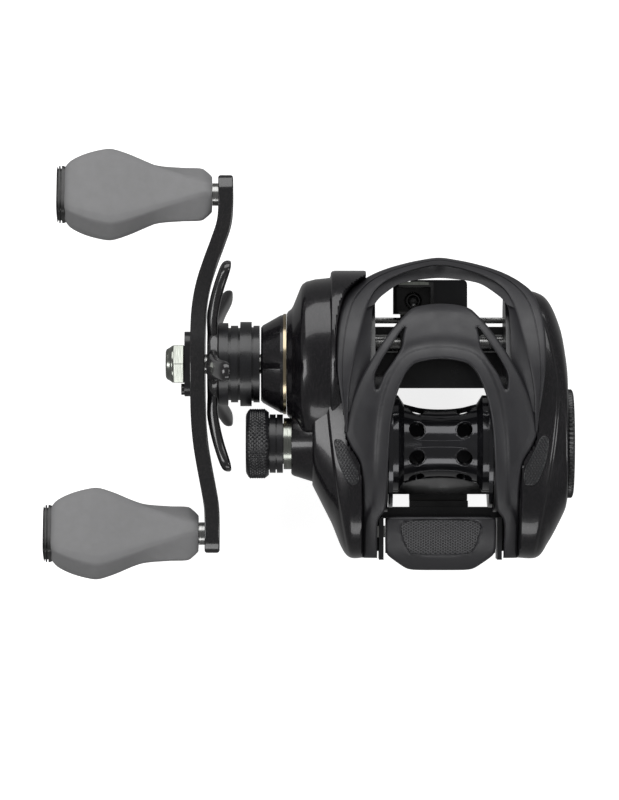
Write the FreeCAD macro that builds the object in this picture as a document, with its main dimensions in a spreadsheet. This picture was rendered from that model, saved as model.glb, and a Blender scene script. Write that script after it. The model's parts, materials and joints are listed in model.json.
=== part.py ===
"""Low-profile baitcasting reel, left-hand wind.

Frame: +X to the palm side, +Y towards the rod tip, +Z up, origin on the underside of the reel foot, midway
between its two tips.  Units are millimetres.  Every driving size is a cell of the spreadsheet "dims".
"""
import FreeCAD, Part
import math
import os

import Sketcher
from FreeCAD import Placement, Rotation, Vector

DRIVING_SIZES = {
    # spool and its axis
    "spool_y": -13.8, "spool_z": 23.2, "flange_rad": 17.0, "flange_thick": 1.1, "spool_half": 12.6,
    "arbor_rad": 8.8, "arbor_end_rad": 10.5, "step_rad": 12.8, "spool_shaft_rad": 1.5,
    # gear train: the drive axis sits one centre distance ahead of the spool axis
    "tooth_size": 0.385, "main_teeth": 96, "pinion_teeth": 15, "drive_drop": 3.4,
    "wind_tooth_size": 0.4, "wind_drive_teeth": 34, "worm_teeth": 26, "worm_y": 12.7,
    # frame
    "wall_in": 17.2, "wall_thick": 2.2, "collar_in": 13.95, "collar_rad": 18.1, "bore_gap": 0.35,
    "foot_length": 60.0, "foot_half": 7.8, "foot_thick": 2.6,
    # handle
    "arm_pitch": 90.0, "arm_thick": 3.4, "arm_hub_x": -64.4, "arm_offset": 5.8, "arm_lean": 1.8,
    "knob_gap": 1.9, "knob_half": 12.9, "knob_long": 39.2, "knob_deep": 7.2, "knob_roll": -23, "knob_post_rad": 2.0,
    # star drag and collar
    "star_reach": 29.0, "star_thick": 2.6, "star_bend": 3.2,
    # spool tension knob
    "tension_rad": 9.2, "neck_rad": 5.4,
    # brake dial
    "dial_rad": 14.4, "dial_x": 33.4,
    # levelwind
    "worm_rad": 2.5, "guide_bar_y": 19.0, "guide_bar_z": 8.6, "guide_bar_rad": 0.8, "guide_x": -6.9,
    # clutch
    "yoke_post_rad": 0.8, "yoke_post_gap": 8.5, "thumb_travel": 4.0, "clutch_travel": 1.6,
}

doc = FreeCAD.newDocument("baitcasting_reel")
sheet = doc.addObject("Spreadsheet::Sheet", "dims")
for row, (name, number) in enumerate(DRIVING_SIZES.items(), start=1):
    sheet.set(f"A{row}", name)
    sheet.set(f"B{row}", str(number))
    sheet.setAlias(f"B{row}", name)
doc.recompute()

NODES = {}


class Size:
    """A number together with the spreadsheet expression that it comes from."""

    def __init__(self, value, text):
        self.value = value
        self.text = text

    def __add__(self, other):
        other = size(other)
        return Size(self.value + other.value, f"({self.text} + {other.text})")

    def __sub__(self, other):
        other = size(other)
        return Size(self.value - other.value, f"({self.text} - {other.text})")

    def __mul__(self, other):
        other = size(other)
        return Size(self.value * other.value, f"({self.text} * {other.text})")

    def __truediv__(self, other):
        other = size(other)
        return Size(self.value / other.value, f"({self.text} / {other.text})")

    def __neg__(self):
        return self * -1

    __radd__ = __add__
    __rmul__ = __mul__

    def __rsub__(self, other):
        return size(other) - self


def size(number):
    """A plain number or a Size, as a Size."""
    if isinstance(number, Size):
        return number
    return Size(float(number), f"({float(number)!r})")


def dim(name):
    """The Size of a spreadsheet cell."""
    return Size(float(sheet.get(name)), f"dims.{name}")


def bind(thing, prop, number):
    thing.setExpression(prop, size(number).text)


def place(thing, x=0, y=0, z=0):
    """Binds the placement of a piece to the sheet."""
    for axis, number in zip("xyz", (x, y, z)):
        bind(thing, f"Placement.Base.{axis}", number)
    return thing


def node(name, thing):
    """Names a finished sub-part, which gives its file name."""
    thing.Label = name
    NODES[name] = thing
    return thing


# ---------------------------------------------------------------- primitives and booleans

def rod(radius, x_start, length, y=0, z=0):
    """A round bar along +X."""
    bar = doc.addObject("Part::Cylinder", "bar")
    bind(bar, "Radius", radius)
    bind(bar, "Height", length)
    bar.Placement = Placement(Vector(0, 0, 0), Rotation(Vector(0, 1, 0), 90))
    return place(bar, x_start, y, z)


def post(radius, height, x, y, z_start):
    """A round bar along +Z."""
    bar = doc.addObject("Part::Cylinder", "post")
    bind(bar, "Radius", radius)
    bind(bar, "Height", height)
    return place(bar, x, y, z_start)


def block(x, y, z, length, width, height):
    """A box from its lowest corner."""
    solid = doc.addObject("Part::Box", "block")
    bind(solid, "Length", length)
    bind(solid, "Width", width)
    bind(solid, "Height", height)
    return place(solid, x, y, z)


def fuse(*shapes):
    joined = doc.addObject("Part::MultiFuse", "fuse")
    joined.Shapes = list(shapes)
    joined.Refine = True
    return joined


def cut(base, *tools):
    """The base less every tool."""
    for tool in tools:
        rest = doc.addObject("Part::Cut", "cut")
        rest.Base = base
        rest.Tool = tool
        base = rest
    return base


def common(first, second):
    shared = doc.addObject("Part::Common", "common")
    shared.Base = first
    shared.Tool = second
    return shared


def ring(radius, bore, x_start, length, y=0, z=0):
    """A tube along +X."""
    return cut(rod(radius, x_start, length, y, z), rod(bore, size(x_start) - 1, size(length) + 2, y, z))


def group(*solids):
    """Several separate solids as one piece."""
    bundle = doc.addObject("Part::Compound", "group")
    bundle.Links = list(solids)
    return bundle


# ---------------------------------------------------------------- PartDesign pieces

def origin_plane(body, role):
    return next(f for f in body.Origin.OriginFeatures if f.Role == role)


def polygon_sketch(body, role, points):
    """A closed polygon on an origin plane, each corner placed by the sheet."""
    sketch = body.newObject("Sketcher::SketchObject", "outline")
    sketch.AttachmentSupport = [(origin_plane(body, role), "")]
    sketch.MapMode = "FlatFace"
    corners = [(size(a), size(b)) for a, b in points]
    count = len(corners)
    for i in range(count):
        a, b = corners[i], corners[(i + 1) % count]
        sketch.addGeometry(
            Part.LineSegment(Vector(a[0].value, a[1].value, 0), Vector(b[0].value, b[1].value, 0)), False
        )
    for i in range(count):
        sketch.addConstraint(Sketcher.Constraint("Coincident", i, 2, (i + 1) % count, 1))
    for i, corner in enumerate(corners):
        for kind, number in zip(("DistanceX", "DistanceY"), corner):
            made = sketch.addConstraint(Sketcher.Constraint(kind, -1, 1, i, 1, number.value))
            sketch.setExpression(f"Constraints[{made}]", number.text)
    return sketch


def turned(profile, y=0, z=0):
    """A body turned about the X axis.  profile is its (x, radius) outline."""
    body = doc.addObject("PartDesign::Body", "turned")
    sketch = polygon_sketch(body, "XY_Plane", profile)
    revolved = body.newObject("PartDesign::Revolution", "revolution")
    revolved.Profile = sketch
    revolved.ReferenceAxis = (sketch, ["H_Axis"])
    revolved.Angle = 360
    return place(body, 0, y, z)


def padded(role, points, length, x=0, y=0, z=0, rounding=None):
    """A polygon on an origin plane, pushed out along the plane's normal, its upright edges rounded."""
    body = doc.addObject("PartDesign::Body", "padded")
    sketch = polygon_sketch(body, role, points)
    pad = body.newObject("PartDesign::Pad", "pad")
    pad.Profile = sketch
    bind(pad, "Length", length)
    if rounding:
        doc.recompute()
        normal = {"XY_Plane": Vector(0, 0, 1), "XZ_Plane": Vector(0, 1, 0), "YZ_Plane": Vector(1, 0, 0)}[role]
        upright = [
            f"Edge{i}" for i, edge in enumerate(pad.Shape.Edges, start=1)
            if abs(edge.tangentAt(edge.FirstParameter).dot(normal)) > 0.999
        ]
        fillet = body.newObject("PartDesign::Fillet", "rounding")
        fillet.Base = (pad, upright)
        bind(fillet, "Radius", rounding)
    return place(body, x, y, z)


# ---------------------------------------------------------------- free shapes

def shaped(shape, name="shape"):
    thing = doc.addObject("Part::Feature", name)
    thing.Shape = shape
    return thing


def tooth_wire(module, teeth, turn, backlash=0.05, pressure=math.radians(25)):
    """The outline of a spur gear in the plane x = 0, round the origin."""
    pitch_rad = module * teeth / 2
    base_rad = pitch_rad * math.cos(pressure)
    root_rad = pitch_rad - 1.25 * module
    tip_rad = pitch_rad + 0.95 * module
    half = (math.pi * module / 2 - backlash) / (2 * pitch_rad) + math.tan(pressure) - pressure

    def flank(radius):
        lean = math.acos(min(1.0, base_rad / radius))
        return half - (math.tan(lean) - lean)

    low = max(base_rad, root_rad)
    steps = [low, (low + tip_rad) / 2, tip_rad]
    corners = []
    for tooth in range(teeth):
        centre = turn + 2 * math.pi * tooth / teeth
        left = [(root_rad, centre - flank(low))] + [(r, centre - flank(r)) for r in steps]
        right = [(r, centre + flank(r)) for r in reversed(steps)] + [(root_rad, centre + flank(low))]
        corners += left + right
    points = [Vector(0, r * math.cos(a), r * math.sin(a)) for r, a in corners]
    return Part.makePolygon(points + points[:1])


def spur_gear(module, teeth, x_start, width, y, z, turn=0.0):
    """A spur gear along +X, without its bore."""
    blank = Part.Face(tooth_wire(module, teeth, turn)).extrude(Vector(width, 0, 0))
    gear = shaped(blank, "gear")
    return place(gear, x_start, y, z)


def egg_wire(x, y_rear, y_front, z_low, z_high, crest=0.42, power=2.6):
    """A closed smooth outline in the plane of constant x, fullest at the share crest of its length."""
    z_mid, half_high = (z_low + z_high) / 2, (z_high - z_low) / 2
    y_crest = y_rear + crest * (y_front - y_rear)
    points = []
    for i in range(24):
        angle = 2 * math.pi * i / 24
        c, s = math.cos(angle), math.sin(angle)
        reach = (y_front - y_crest) if c > 0 else (y_crest - y_rear)
        points.append(Vector(
            x,
            y_crest + reach * math.copysign(abs(c) ** (2 / power), c),
            z_mid + half_high * math.copysign(abs(s) ** (2 / power), s),
        ))
    curve = Part.BSplineCurve()
    curve.interpolate(Points=points, PeriodicFlag=True)
    return Part.Wire([curve.toShape()])


def egg_loft(sections):
    return Part.makeLoft([egg_wire(*section) for section in sections], True, False)


def root(number):
    return Size(math.sqrt(number.value), f"sqrt({number.text})")


# ---------------------------------------------------------------- shared places
spool_y, spool_z = dim("spool_y"), dim("spool_z")
mesh_gap = dim("tooth_size") * (dim("main_teeth") + dim("pinion_teeth")) / 2
drive_y = spool_y + root(mesh_gap * mesh_gap - dim("drive_drop") * dim("drive_drop"))
drive_z = spool_z - dim("drive_drop")
worm_y = dim("worm_y")
worm_gap = dim("wind_tooth_size") * (dim("wind_drive_teeth") + dim("worm_teeth")) / 2
worm_z = drive_z - root(worm_gap * worm_gap - (worm_y - drive_y) * (worm_y - drive_y))
wall_in = dim("wall_in")
wall_out = wall_in + dim("wall_thick")
foot_half = dim("foot_half")
foot_thick = dim("foot_thick")
RUN = 0.05  # radial running clearance
TOP = 60  # a height above everything
X_AXIS = Vector(1, 0, 0)


# ---------------------------------------------------------------- frame and foot

def make_frame():
    """One-piece frame: two side plates, collars round the spool, cross bars and the reel foot."""
    outline = [
        (-43.2, 15), (-43.2, 25), (-38, 31.0), (-30, 36.2), (-20, 39.4), (-10, 38.2), (2, 36.0), (8, 34.2),
        (14, 31.6), (20, 28.2), (26.5, 20.5), (28, 8.5), (22, 3.4), (-30, 3.4),
    ]
    plates = [
        padded("YZ_Plane", outline, dim("wall_thick"), x=x, rounding=2.5) for x in (-wall_out, wall_in)
    ]
    collars = [
        rod(dim("collar_rad"), x, wall_in - dim("collar_in"), spool_y, spool_z)
        for x in (-wall_in, dim("collar_in"))
    ]
    span = wall_in * 2
    floor = block(-wall_in, 0.9, foot_thick, span, 16.5, 2.0)
    rear_bar = block(-wall_in, -33.8, 8.4, span, 3.0, 4.6)
    web = common(
        ring(dim("flange_rad") + 2.6, dim("flange_rad") + 1.2, -wall_in, span, spool_y, spool_z),
        block(-wall_in, -27.4, 0, span, 20.4, 14),
    )
    foot_front = padded(
        "XY_Plane",
        [(-foot_half, 2), (-foot_half, dim("foot_length") / 2), (foot_half, dim("foot_length") / 2), (foot_half, 2)],
        foot_thick, rounding=1.2,
    )
    foot_rear = padded(
        "XY_Plane",
        [(-foot_half, -8), (foot_half, -8), (foot_half, dim("foot_length") / -2),
         (-foot_half, dim("foot_length") / -2)],
        foot_thick, rounding=1.2,
    )
    pedestal = block(-foot_half, -21, 1, foot_half * 2, 12.6, 3.8)
    rear_tie = block(-foot_half, -31.6, foot_thick - 1, foot_half * 2, 2.4, 8.4)
    thumb_guides = [block(x, -44.4, 14, 1.2, 11, 15.5) for x in (-16.2, 15.0)]
    ties = [block(x, -42.4, 14, 1.2, 9, 4) for x in (-17.3, 16.1)]
    body = fuse(*plates, *collars, floor, rear_bar, web, foot_front, foot_rear, pedestal, rear_tie, *thumb_guides,
                *ties)
    spool_bore = rod(dim("flange_rad") + dim("bore_gap"), -wall_in, wall_in + wall_out + 1, spool_y, spool_z)
    return node("frame", cut(
        body,
        spool_bore,
        rod(5.0, -wall_out - 1, 5, spool_y, spool_z),
        rod(4.5, -wall_out - 1, 5, drive_y, drive_z),
        rod(3.0, -wall_out - 1, 6, worm_y, worm_z),
        rod(3.0, wall_in - 1, 6, worm_y, worm_z),
        rod(dim("guide_bar_rad"), -wall_out - 1, wall_out * 2 + 2, dim("guide_bar_y"), dim("guide_bar_z")),
        block(-wall_out - 1, -38.9, 19.2, dim("wall_thick") + 4, 3.8, 9.6),
        rod(dim("yoke_post_rad"), -wall_out - 1, 5, spool_y, spool_z + dim("yoke_post_gap")),
        rod(dim("yoke_post_rad"), -wall_out - 1, 5, spool_y, spool_z - dim("yoke_post_gap")),
    ))


# ---------------------------------------------------------------- hood

def smooth_band(top, thickness, half_width):
    """A shell under a smooth side profile [(y, z)], as wide as half_width each way."""
    upper = Part.BSplineCurve()
    upper.interpolate(Points=[Vector(-half_width, y, z) for y, z in top])
    lower = Part.BSplineCurve()
    lower.interpolate(Points=[Vector(-half_width, y, z - thickness) for y, z in reversed(top)])
    first, last = top[0], top[-1]
    ends = [
        Part.makeLine(Vector(-half_width, last[0], last[1]), Vector(-half_width, last[0], last[1] - thickness)),
        Part.makeLine(Vector(-half_width, first[0], first[1] - thickness), Vector(-half_width, first[0], first[1])),
    ]
    wire = Part.Wire([upper.toShape(), ends[0], lower.toShape(), ends[1]])
    return Part.Face(wire).extrude(Vector(2 * half_width, 0, 0))


def mirrored(points):
    """The left half of an outline that is given from the middle out to the right, joined to it."""
    return points + [(-x, y) for x, y in reversed(points) if x > 1e-6]


def prism(points, z_low=0, z_high=TOP):
    """A prism over a closed smooth-cornered outline in plan."""
    corners = [Vector(x, y, z_low) for x, y in points]
    return Part.Face(Part.makePolygon(corners + corners[:1])).extrude(Vector(0, 0, z_high - z_low))


RIM_OUTER = [
    (0, 35.8), (4.5, 35.2), (9, 34.2), (14, 32.7), (18, 31), (21.5, 28.8), (24.4, 26), (26.4, 21), (27.4, 14),
    (27.4, 7), (26.6, 0), (25.4, -7), (25.2, -10.4),
]
RIM_INNER = [
    (0, 33.5), (4.5, 32.8), (8, 31.8), (12, 30.3), (15.2, 28.4), (17.4, 26.2), (19.4, 22), (21.2, 15), (22.8, 8),
    (24, 1), (24.4, -5.6),
]
SADDLE_OUTER = [
    (0, 23.1), (4.6, 22.7), (7.6, 21.8), (9.4, 20.2), (13, 16.2), (17.4, 9.8), (21, 3.4), (23.4, -2), (25, -7),
    (25.2, -10.6), (23.6, -14.6), (21.4, -18.4), (20.8, -22), (20.4, -32), (20.3, -44),
]
ARCH_INNER = [
    (0, 8.5), (4, 8.1), (7, 7.2), (9, 5.2), (10.4, 2.6), (11.6, -0.6), (12.7, -5), (13.4, -10), (13.9, -18),
    (14.2, -26), (14.9, -31.4), (16.4, -33.6), (16.7, -44),
]
SLOT = [
    (9.6, 16.8), (12.6, 12.8), (15.8, 7.8), (17.4, 4.2), (16.9, 0.4), (15, 4.4), (12.2, 8.6), (10.4, 11.6), (10, 14.4),
]
RIM_TOP = [(37, 9), (35.8, 13), (33, 20), (28, 27.6), (20, 35.4), (14, 38.9), (8, 41), (0, 42.5), (-12, 43.2)]
SADDLE_TOP = [
    (24, 33), (21, 36.4), (17, 38.7), (10, 41.2), (2, 43), (-8, 43.9), (-20, 43.2), (-30, 39.8), (-38, 34.6), (-45, 28),
]
SHOULDER_EDGE = [(17.3, 25.6), (17.3, 9), (18.4, 6), (20, 2), (22, -2), (24, -5), (24.6, -6)]
RIM_THICK = 4.2
SADDLE_THICK = 2.9
SHOULDER_THICK = 1.0


def make_hood():
    """Hood over the levelwind and the front of the spool: a front rim with a shoulder each side, and a saddle
    with two slots and two legs."""
    rim = prism(mirrored(RIM_OUTER)).cut(prism(mirrored(RIM_INNER + [(24.4, -12)])))
    rim = rim.common(smooth_band(RIM_TOP, RIM_THICK, 30))
    shoulder_top = [(y, z - RIM_THICK + SHOULDER_THICK) for y, z in RIM_TOP]
    shoulder_plan = SHOULDER_EDGE + [(25, -6), (25, 1), (23.6, 8), (22, 15), (20.2, 22), (18.2, 26.2)]
    for side in (1, -1):
        shoulder = prism([(side * x, y) for x, y in shoulder_plan])
        rim = rim.fuse(shoulder.common(smooth_band(shoulder_top, SHOULDER_THICK, 30)))
    slots = [prism([(side * x, y) for x, y in SLOT]) for side in (1, -1)]
    saddle = prism(mirrored(SADDLE_OUTER)).cut(prism(mirrored(ARCH_INNER + [(16.7, -46)])))
    for slot in slots:
        saddle = saddle.cut(slot)
    saddle = saddle.common(smooth_band(SADDLE_TOP, SADDLE_THICK, 30))
    start = Vector(-18, spool_y.value, spool_z.value)
    seat = Part.makeCylinder(dim("collar_rad").value + 0.1, 36, start, X_AXIS)
    gear_room = Part.makeCylinder(19.3, 4.6, Vector(-28.5, drive_y.value, drive_z.value), X_AXIS)
    return node("front_hood", shaped(rim.fuse(saddle).cut(seat).cut(gear_room), "hood"))


def hood_room():
    """The space that the side covers leave free for the hood: all that lies over its underside."""
    gap = 0.15

    def over(top, thickness):
        lower = [(y, z - thickness - gap + TOP) for y, z in top]
        return smooth_band(lower, TOP, 40)

    def wider(points):
        return [(x + (gap if x else 0), y) for x, y in points]

    rim = prism(mirrored(wider(RIM_OUTER) + [(25.35, -11)])).common(over(RIM_TOP, RIM_THICK))
    saddle = prism(mirrored(wider(SADDLE_OUTER) + [(20.45, -46)])).common(over(SADDLE_TOP, SADDLE_THICK))
    return rim.fuse(saddle)


# ---------------------------------------------------------------- side covers

def slab_above(z):
    return Part.makeBox(200, 200, 200, Vector(-100, -100, z))


def case_wire(x, reach_y, reach_z):
    """An ellipse round the drive axis."""
    y, z = drive_y.value, drive_z.value
    return egg_wire(x, y - reach_y, y + reach_y, z - reach_z, z + reach_z, crest=0.5, power=2.0)


def case_loft(*sections):
    return Part.makeLoft([case_wire(*section) for section in sections], True, True)


def make_gear_cover(room):
    """Cover on the handle side: a gear case round the drive axis, a boss for the spool tension knob, a tail."""
    start = wall_out.value + 0.2
    tail = egg_loft([
        (-start, -44, 27, 1.4, 40.6), (-24.2, -43.8, 26, 1.8, 40), (-29, -34.3, 22, 3.2, 38),
        (-33.8, -25.2, 18, 6, 35.5),
    ])
    case = case_loft((-start, 25, 21.6), (-28.8, 24.8, 21.6))
    step = case_loft((-28.6, 22.9, 21.4), (-36.2, 21.4, 20.4), (-39.2, 14.4, 14.4), (-40.6, 13.5, 13.5))
    axis = -X_AXIS
    boss = Part.makeCone(11.2, 8.2, 12, Vector(-27.4, spool_y.value, spool_z.value), axis)
    neck = Part.makeCylinder(dim("neck_rad").value, 18, Vector(-30, spool_y.value, spool_z.value), axis)
    outer = tail.fuse([case, step, boss, neck]).common(slab_above(-0.4))
    hollow = case_loft((-start + 1, 23.2, 20.2), (-27.6, 23.2, 20.2))
    hollow = hollow.fuse([
        case_loft((-27.4, 20.4, 20.0), (-35.2, 20.0, 19.0)),
        egg_loft([
            (-start + 1, -42.2, 24, 3.2, 38.8), (-24.2, -41.6, 23, 3.6, 38.4), (-29, -32.4, 19, 4.6, 36.4),
            (-32.3, -24, 15, 7.6, 34.2),
        ]),
        Part.makeCylinder(5.6, 8, Vector(-28, spool_y.value, spool_z.value), axis),
    ]).common(slab_above(0.45))
    bores = [
        Part.makeCylinder(9.1, 10, Vector(-33, drive_y.value, drive_z.value), axis),
        Part.makeCylinder(4.0, 9, Vector(-30, spool_y.value, spool_z.value), axis),
        Part.makeCylinder(3.0, 20, Vector(-30, spool_y.value, spool_z.value), axis),
    ]
    cover = outer.cut(hollow).cut(room)
    for bore in bores:
        cover = cover.cut(bore)
    return node("gear_cover", shaped(cover, "gear_cover"))


def make_palm_cover(room):
    """Cover on the palm side, hollow, with a seat for the brake dial."""
    start = wall_out.value + 0.2
    outer = egg_loft([
        (start, -44, 27.5, 1.4, 40.6), (25.7, -43.9, 26.2, 1.8, 39.8), (28.6, -40, 24, 2.8, 39.4),
        (31.8, -34, 16.6, 4.6, 39), (dim("dial_x").value, -29.8, 7.4, 7.4, 38.8),
    ])
    inner = egg_loft([
        (start - 1, -42.2, 25, 3.2, 38.8), (25.7, -42, 23.8, 3.6, 38.2), (28.6, -37.6, 21.4, 4.8, 37.2),
        (30.6, -33, 16, 7, 36.6),
    ])
    pillar = Part.makeCylinder(7.5, 4.5, Vector(27.4, spool_y.value, spool_z.value), X_AXIS)
    seat = Part.makeCylinder(4.6, 20, Vector(start, spool_y.value, spool_z.value), X_AXIS)
    return node("palm_cover", shaped(outer.cut(inner).cut(room).fuse(pillar).cut(seat), "palm_cover"))


# ---------------------------------------------------------------- spool

def spoke(radius, length, x, angle):
    """A bar across the spool axis, turned by an angle about it."""
    bar = doc.addObject("Part::Cylinder", "spoke")
    bind(bar, "Radius", radius)
    bind(bar, "Height", length)
    bar.Placement = Placement(Vector(0, 0, 0), Rotation(X_AXIS, angle))
    turn = math.radians(angle)
    reach = size(length) / 2
    return place(bar, x, spool_y + reach * math.sin(turn), spool_z - reach * math.cos(turn))


def make_spool():
    half, rim, step = dim("spool_half"), dim("flange_rad"), dim("step_rad")
    outer = half + dim("flange_thick")
    shaft_rad = dim("spool_shaft_rad")
    side = [
        (2, shaft_rad), (2, 7.2), (half - 3.2, 9.0), (half - 1, 11.4), (outer, 12.2), (outer, rim),
        (half, rim), (half, step), (half - 1.5, step), (half - 3, dim("arbor_end_rad")),
        (half - 7.6, dim("arbor_rad") + 0.5),
    ]
    profile = side + [(0, dim("arbor_rad"))] + [(-size(x), r) for x, r in reversed(side)]
    body = turned(profile, spool_y, spool_z)
    holes = [spoke(2.1, 30, x, angle) for x in (-6.3, 6.3) for angle in (22.5, 67.5, 112.5, 157.5)]
    node("spool", cut(body, fuse(*holes)))
    pin = spoke(0.5, 4.6, -17.9, 90)
    node("spool_shaft", cut(rod(shaft_rad, -46.9, 69.9, spool_y, spool_z), spoke(0.5, 4.6, -17.9, 90)))
    node("spool_pin", pin)
    node("spool_bearing_handle", ring(4.0, shaft_rad + RUN, -38.2, 2.6, spool_y, spool_z))
    node("spool_bearing_palm", ring(4.0, shaft_rad + RUN, 20.0, 2.5, spool_y, spool_z))


# ---------------------------------------------------------------- drive train

def bored_gear(module, teeth, x_start, width, y, z, turn, bore):
    return cut(
        spur_gear(module, teeth, x_start, width, y, z, turn),
        rod(bore, x_start - 1, width + 2, y, z),
    )


def make_drive_train():
    """Drive shaft with its gears, drag stack and bearings."""
    y, z = drive_y, drive_z
    shaft = 2.6
    node("drive_shaft", turned([
        (-17.0, 0), (-17.0, 2), (-21.2, 2), (-21.2, shaft), (-62.7, shaft), (-62.7, 2), (-70, 2), (-70, 0),
    ], y, z))
    node("drive_shaft_bearing", ring(4.5, 2 + RUN, -19.4, 2.2, y, z))
    to_pinion = math.atan2(spool_z.value - z.value, spool_y.value - y.value)
    to_worm = math.atan2(worm_z.value - z.value, worm_y.value - y.value)
    teeth = bored_gear(dim("tooth_size").value, int(dim("main_teeth").value), -26.5, 2.4, y, z, to_pinion, shaft)
    node("main_gear", fuse(teeth, ring(16.2, 15, -28.3, 1.8, y, z)))
    node("drag_washers", group(*[ring(14.8, shaft, x, 0.5, y, z) for x in (-27.0, -28.3)]))
    node("drag_plate", ring(14.8, shaft, -27.8, 0.8, y, z))
    node("drag_pressure_plate", ring(13.6, shaft, -29.3, 1.0, y, z))
    node("drag_spring_washers", turned([
        (-29.3, shaft), (-29.3, 6.2), (-30.1, 4.6), (-30.9, 6.2), (-30.9, shaft),
    ], y, z))
    node("ratchet_wheel", make_ratchet(shaft))
    node("levelwind_drive_gear", bored_gear(
        dim("wind_tooth_size").value, int(dim("wind_drive_teeth").value), -22.7, 1.5, y, z, to_worm, shaft))
    node("anti_reverse_bearing", ring(9.1, 4.6 + RUN, -40.6, 6.2, y, z))
    node("anti_reverse_sleeve", ring(4.6, shaft, -41.8, 8.6, y, z))
    node("bearing_cone", turned([
        (-41.5, 5.4), (-41.5, 13.1), (-42.3, 12.9), (-46.9, 10.3), (-47.4, 9.7), (-47.4, 5.4),
    ], y, z))
    node("trim_ring", ring(13.35, 9.4, -41.5, 0.8, y, z))
    return to_pinion, to_worm


def make_ratchet(bore):
    """Saw-toothed wheel beside the main gear."""
    count, tip, foot = 12, 8.0, 6.6
    corners = []
    for i in range(count):
        start, end = 2 * math.pi * i / count, 2 * math.pi * (i + 1) / count
        corners += [(tip * math.cos(start), tip * math.sin(start)), (foot * math.cos(end), foot * math.sin(end))]
    wheel = padded("YZ_Plane", corners, 0.9, x=-23.9, y=drive_y, z=drive_z)
    return cut(wheel, rod(bore, -25, 3, drive_y, drive_z))


def make_pinion(to_pinion):
    y, z = spool_y, spool_z
    bore = dim("spool_shaft_rad") + RUN + 0.03
    core = turned([
        (-17.2, bore), (-17.2, 2.4), (-27.4, 2.4), (-27.4, 2.1), (-28.4, 2.1), (-28.4, 3.3),
        (-29.4, 3.3), (-29.4, 2.2), (-31, 2.2), (-31, bore),
    ], y, z)
    count = int(dim("pinion_teeth").value)
    turn = to_pinion + math.pi + math.pi / count
    teeth = bored_gear(dim("tooth_size").value, count, -27.4, 4.6, y, z, turn, 2.3)
    slot = block(-18.5, spool_y - 4, spool_z - 0.56, 2, 8, 1.12)
    node("pinion", cut(fuse(core, teeth), slot))
    node("pinion_bearing", ring(5.0, 2.4 + RUN, -19.4, 2.0, y, z))


# ---------------------------------------------------------------- clutch

def make_clutch():
    """Yoke on two posts, and the plate with two ramps that the thumb bar pushes down."""
    gap, post_rad = dim("yoke_post_gap"), dim("yoke_post_rad")
    levels = (spool_z + gap, spool_z - gap)
    node("yoke_posts", group(*[
        fuse(rod(post_rad, -31.4, 14.2, spool_y, z), rod(1.5, -32.0, 0.8, spool_y, z)) for z in levels
    ]))
    plate = block(-28.3, spool_y - 3.4, spool_z - gap - 2, 0.8, 6.8, gap * 2 + 4)
    mouth = [rod(2.16, -29, 3, spool_y, spool_z), block(-29, spool_y - 5, spool_z - 2.16, 3, 5, 4.32)]
    feet = [rod(2.0, -27.5, 6.4, spool_y, z) for z in levels]
    bores = [rod(post_rad + 0.08, -30, 10, spool_y, z) for z in levels]
    node("clutch_yoke", cut(fuse(plate, *feet), *mouth, *bores))

    outline = [
        (-38.5, 24), (-17.6, 20), (-17, 10.6), (-10.6, 10.6), (-10.6, 37.9), (-17, 37.9), (-17.6, 28.4),
        (-38.5, 28.4),
    ]
    base = padded("YZ_Plane", outline, 0.8, x=-21.0)
    leg = block(-20.2, -38.5, 24.0, 5.6, 3.0, 4.4)
    travel = dim("thumb_travel")
    ramps = []
    for z in levels:
        low = z + 2.0
        wedge = padded("XZ_Plane", [
            (-20.4, low), (-21.0, low), (-20.9 - dim("clutch_travel"), low + travel), (-20.4, low + travel),
        ], 4.4, y=spool_y + 2.2)
        ramps.append(wedge)
    openings = [rod(2.8, -23, 3, spool_y, spool_z), rod(2.8, -23, 3, spool_y, spool_z + travel),
                block(-23, spool_y - 2.8, spool_z, 3, 5.6, travel)]
    for z in levels:
        openings += [rod(1.1, -23, 3, spool_y, z), block(-23, spool_y - 1.1, z, 3, 2.2, travel + 1.2)]
    node("clutch_plate", cut(fuse(base, leg, *ramps), fuse(*openings)))


THUMB_PLAN = [
    (-14.6, -33.2), (14.6, -33.2), (14.6, -43), (12.4, -43), (8, -46.6), (4, -47.3), (-4, -47.3), (-8, -46.6),
    (-12.4, -43), (-14.6, -43),
]
THUMB_TOP = [(-30, 34.6), (-33.2, 33.8), (-38, 32.2), (-42, 29.8), (-45.5, 26.6), (-49, 22.6)]
PAD_PLAN = [(-9.9, -34.2), (9.9, -34.2), (8.2, -40.6), (6.8, -42.2), (-6.8, -42.2), (-8.2, -40.6)]


def make_thumb_bar():
    pad = prism(PAD_PLAN).common(smooth_band(THUMB_TOP, 0.7, 16))
    bar = prism(THUMB_PLAN).common(smooth_band(THUMB_TOP, 2.4, 16)).cut(pad)
    for x in (-14.6, 13.2):
        cheek = Part.makeBox(1.4, 9.6, 9.5, Vector(x, -42.8, 23.4))
        bar = bar.fuse(cheek.cut(smooth_band([(y, z + 25) for y, z in THUMB_TOP], 26, 16)))
    node("thumb_bar", shaped(bar, "thumb_bar"))
    node("thumb_pad", shaped(pad, "thumb_pad"))


# ---------------------------------------------------------------- levelwind

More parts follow.
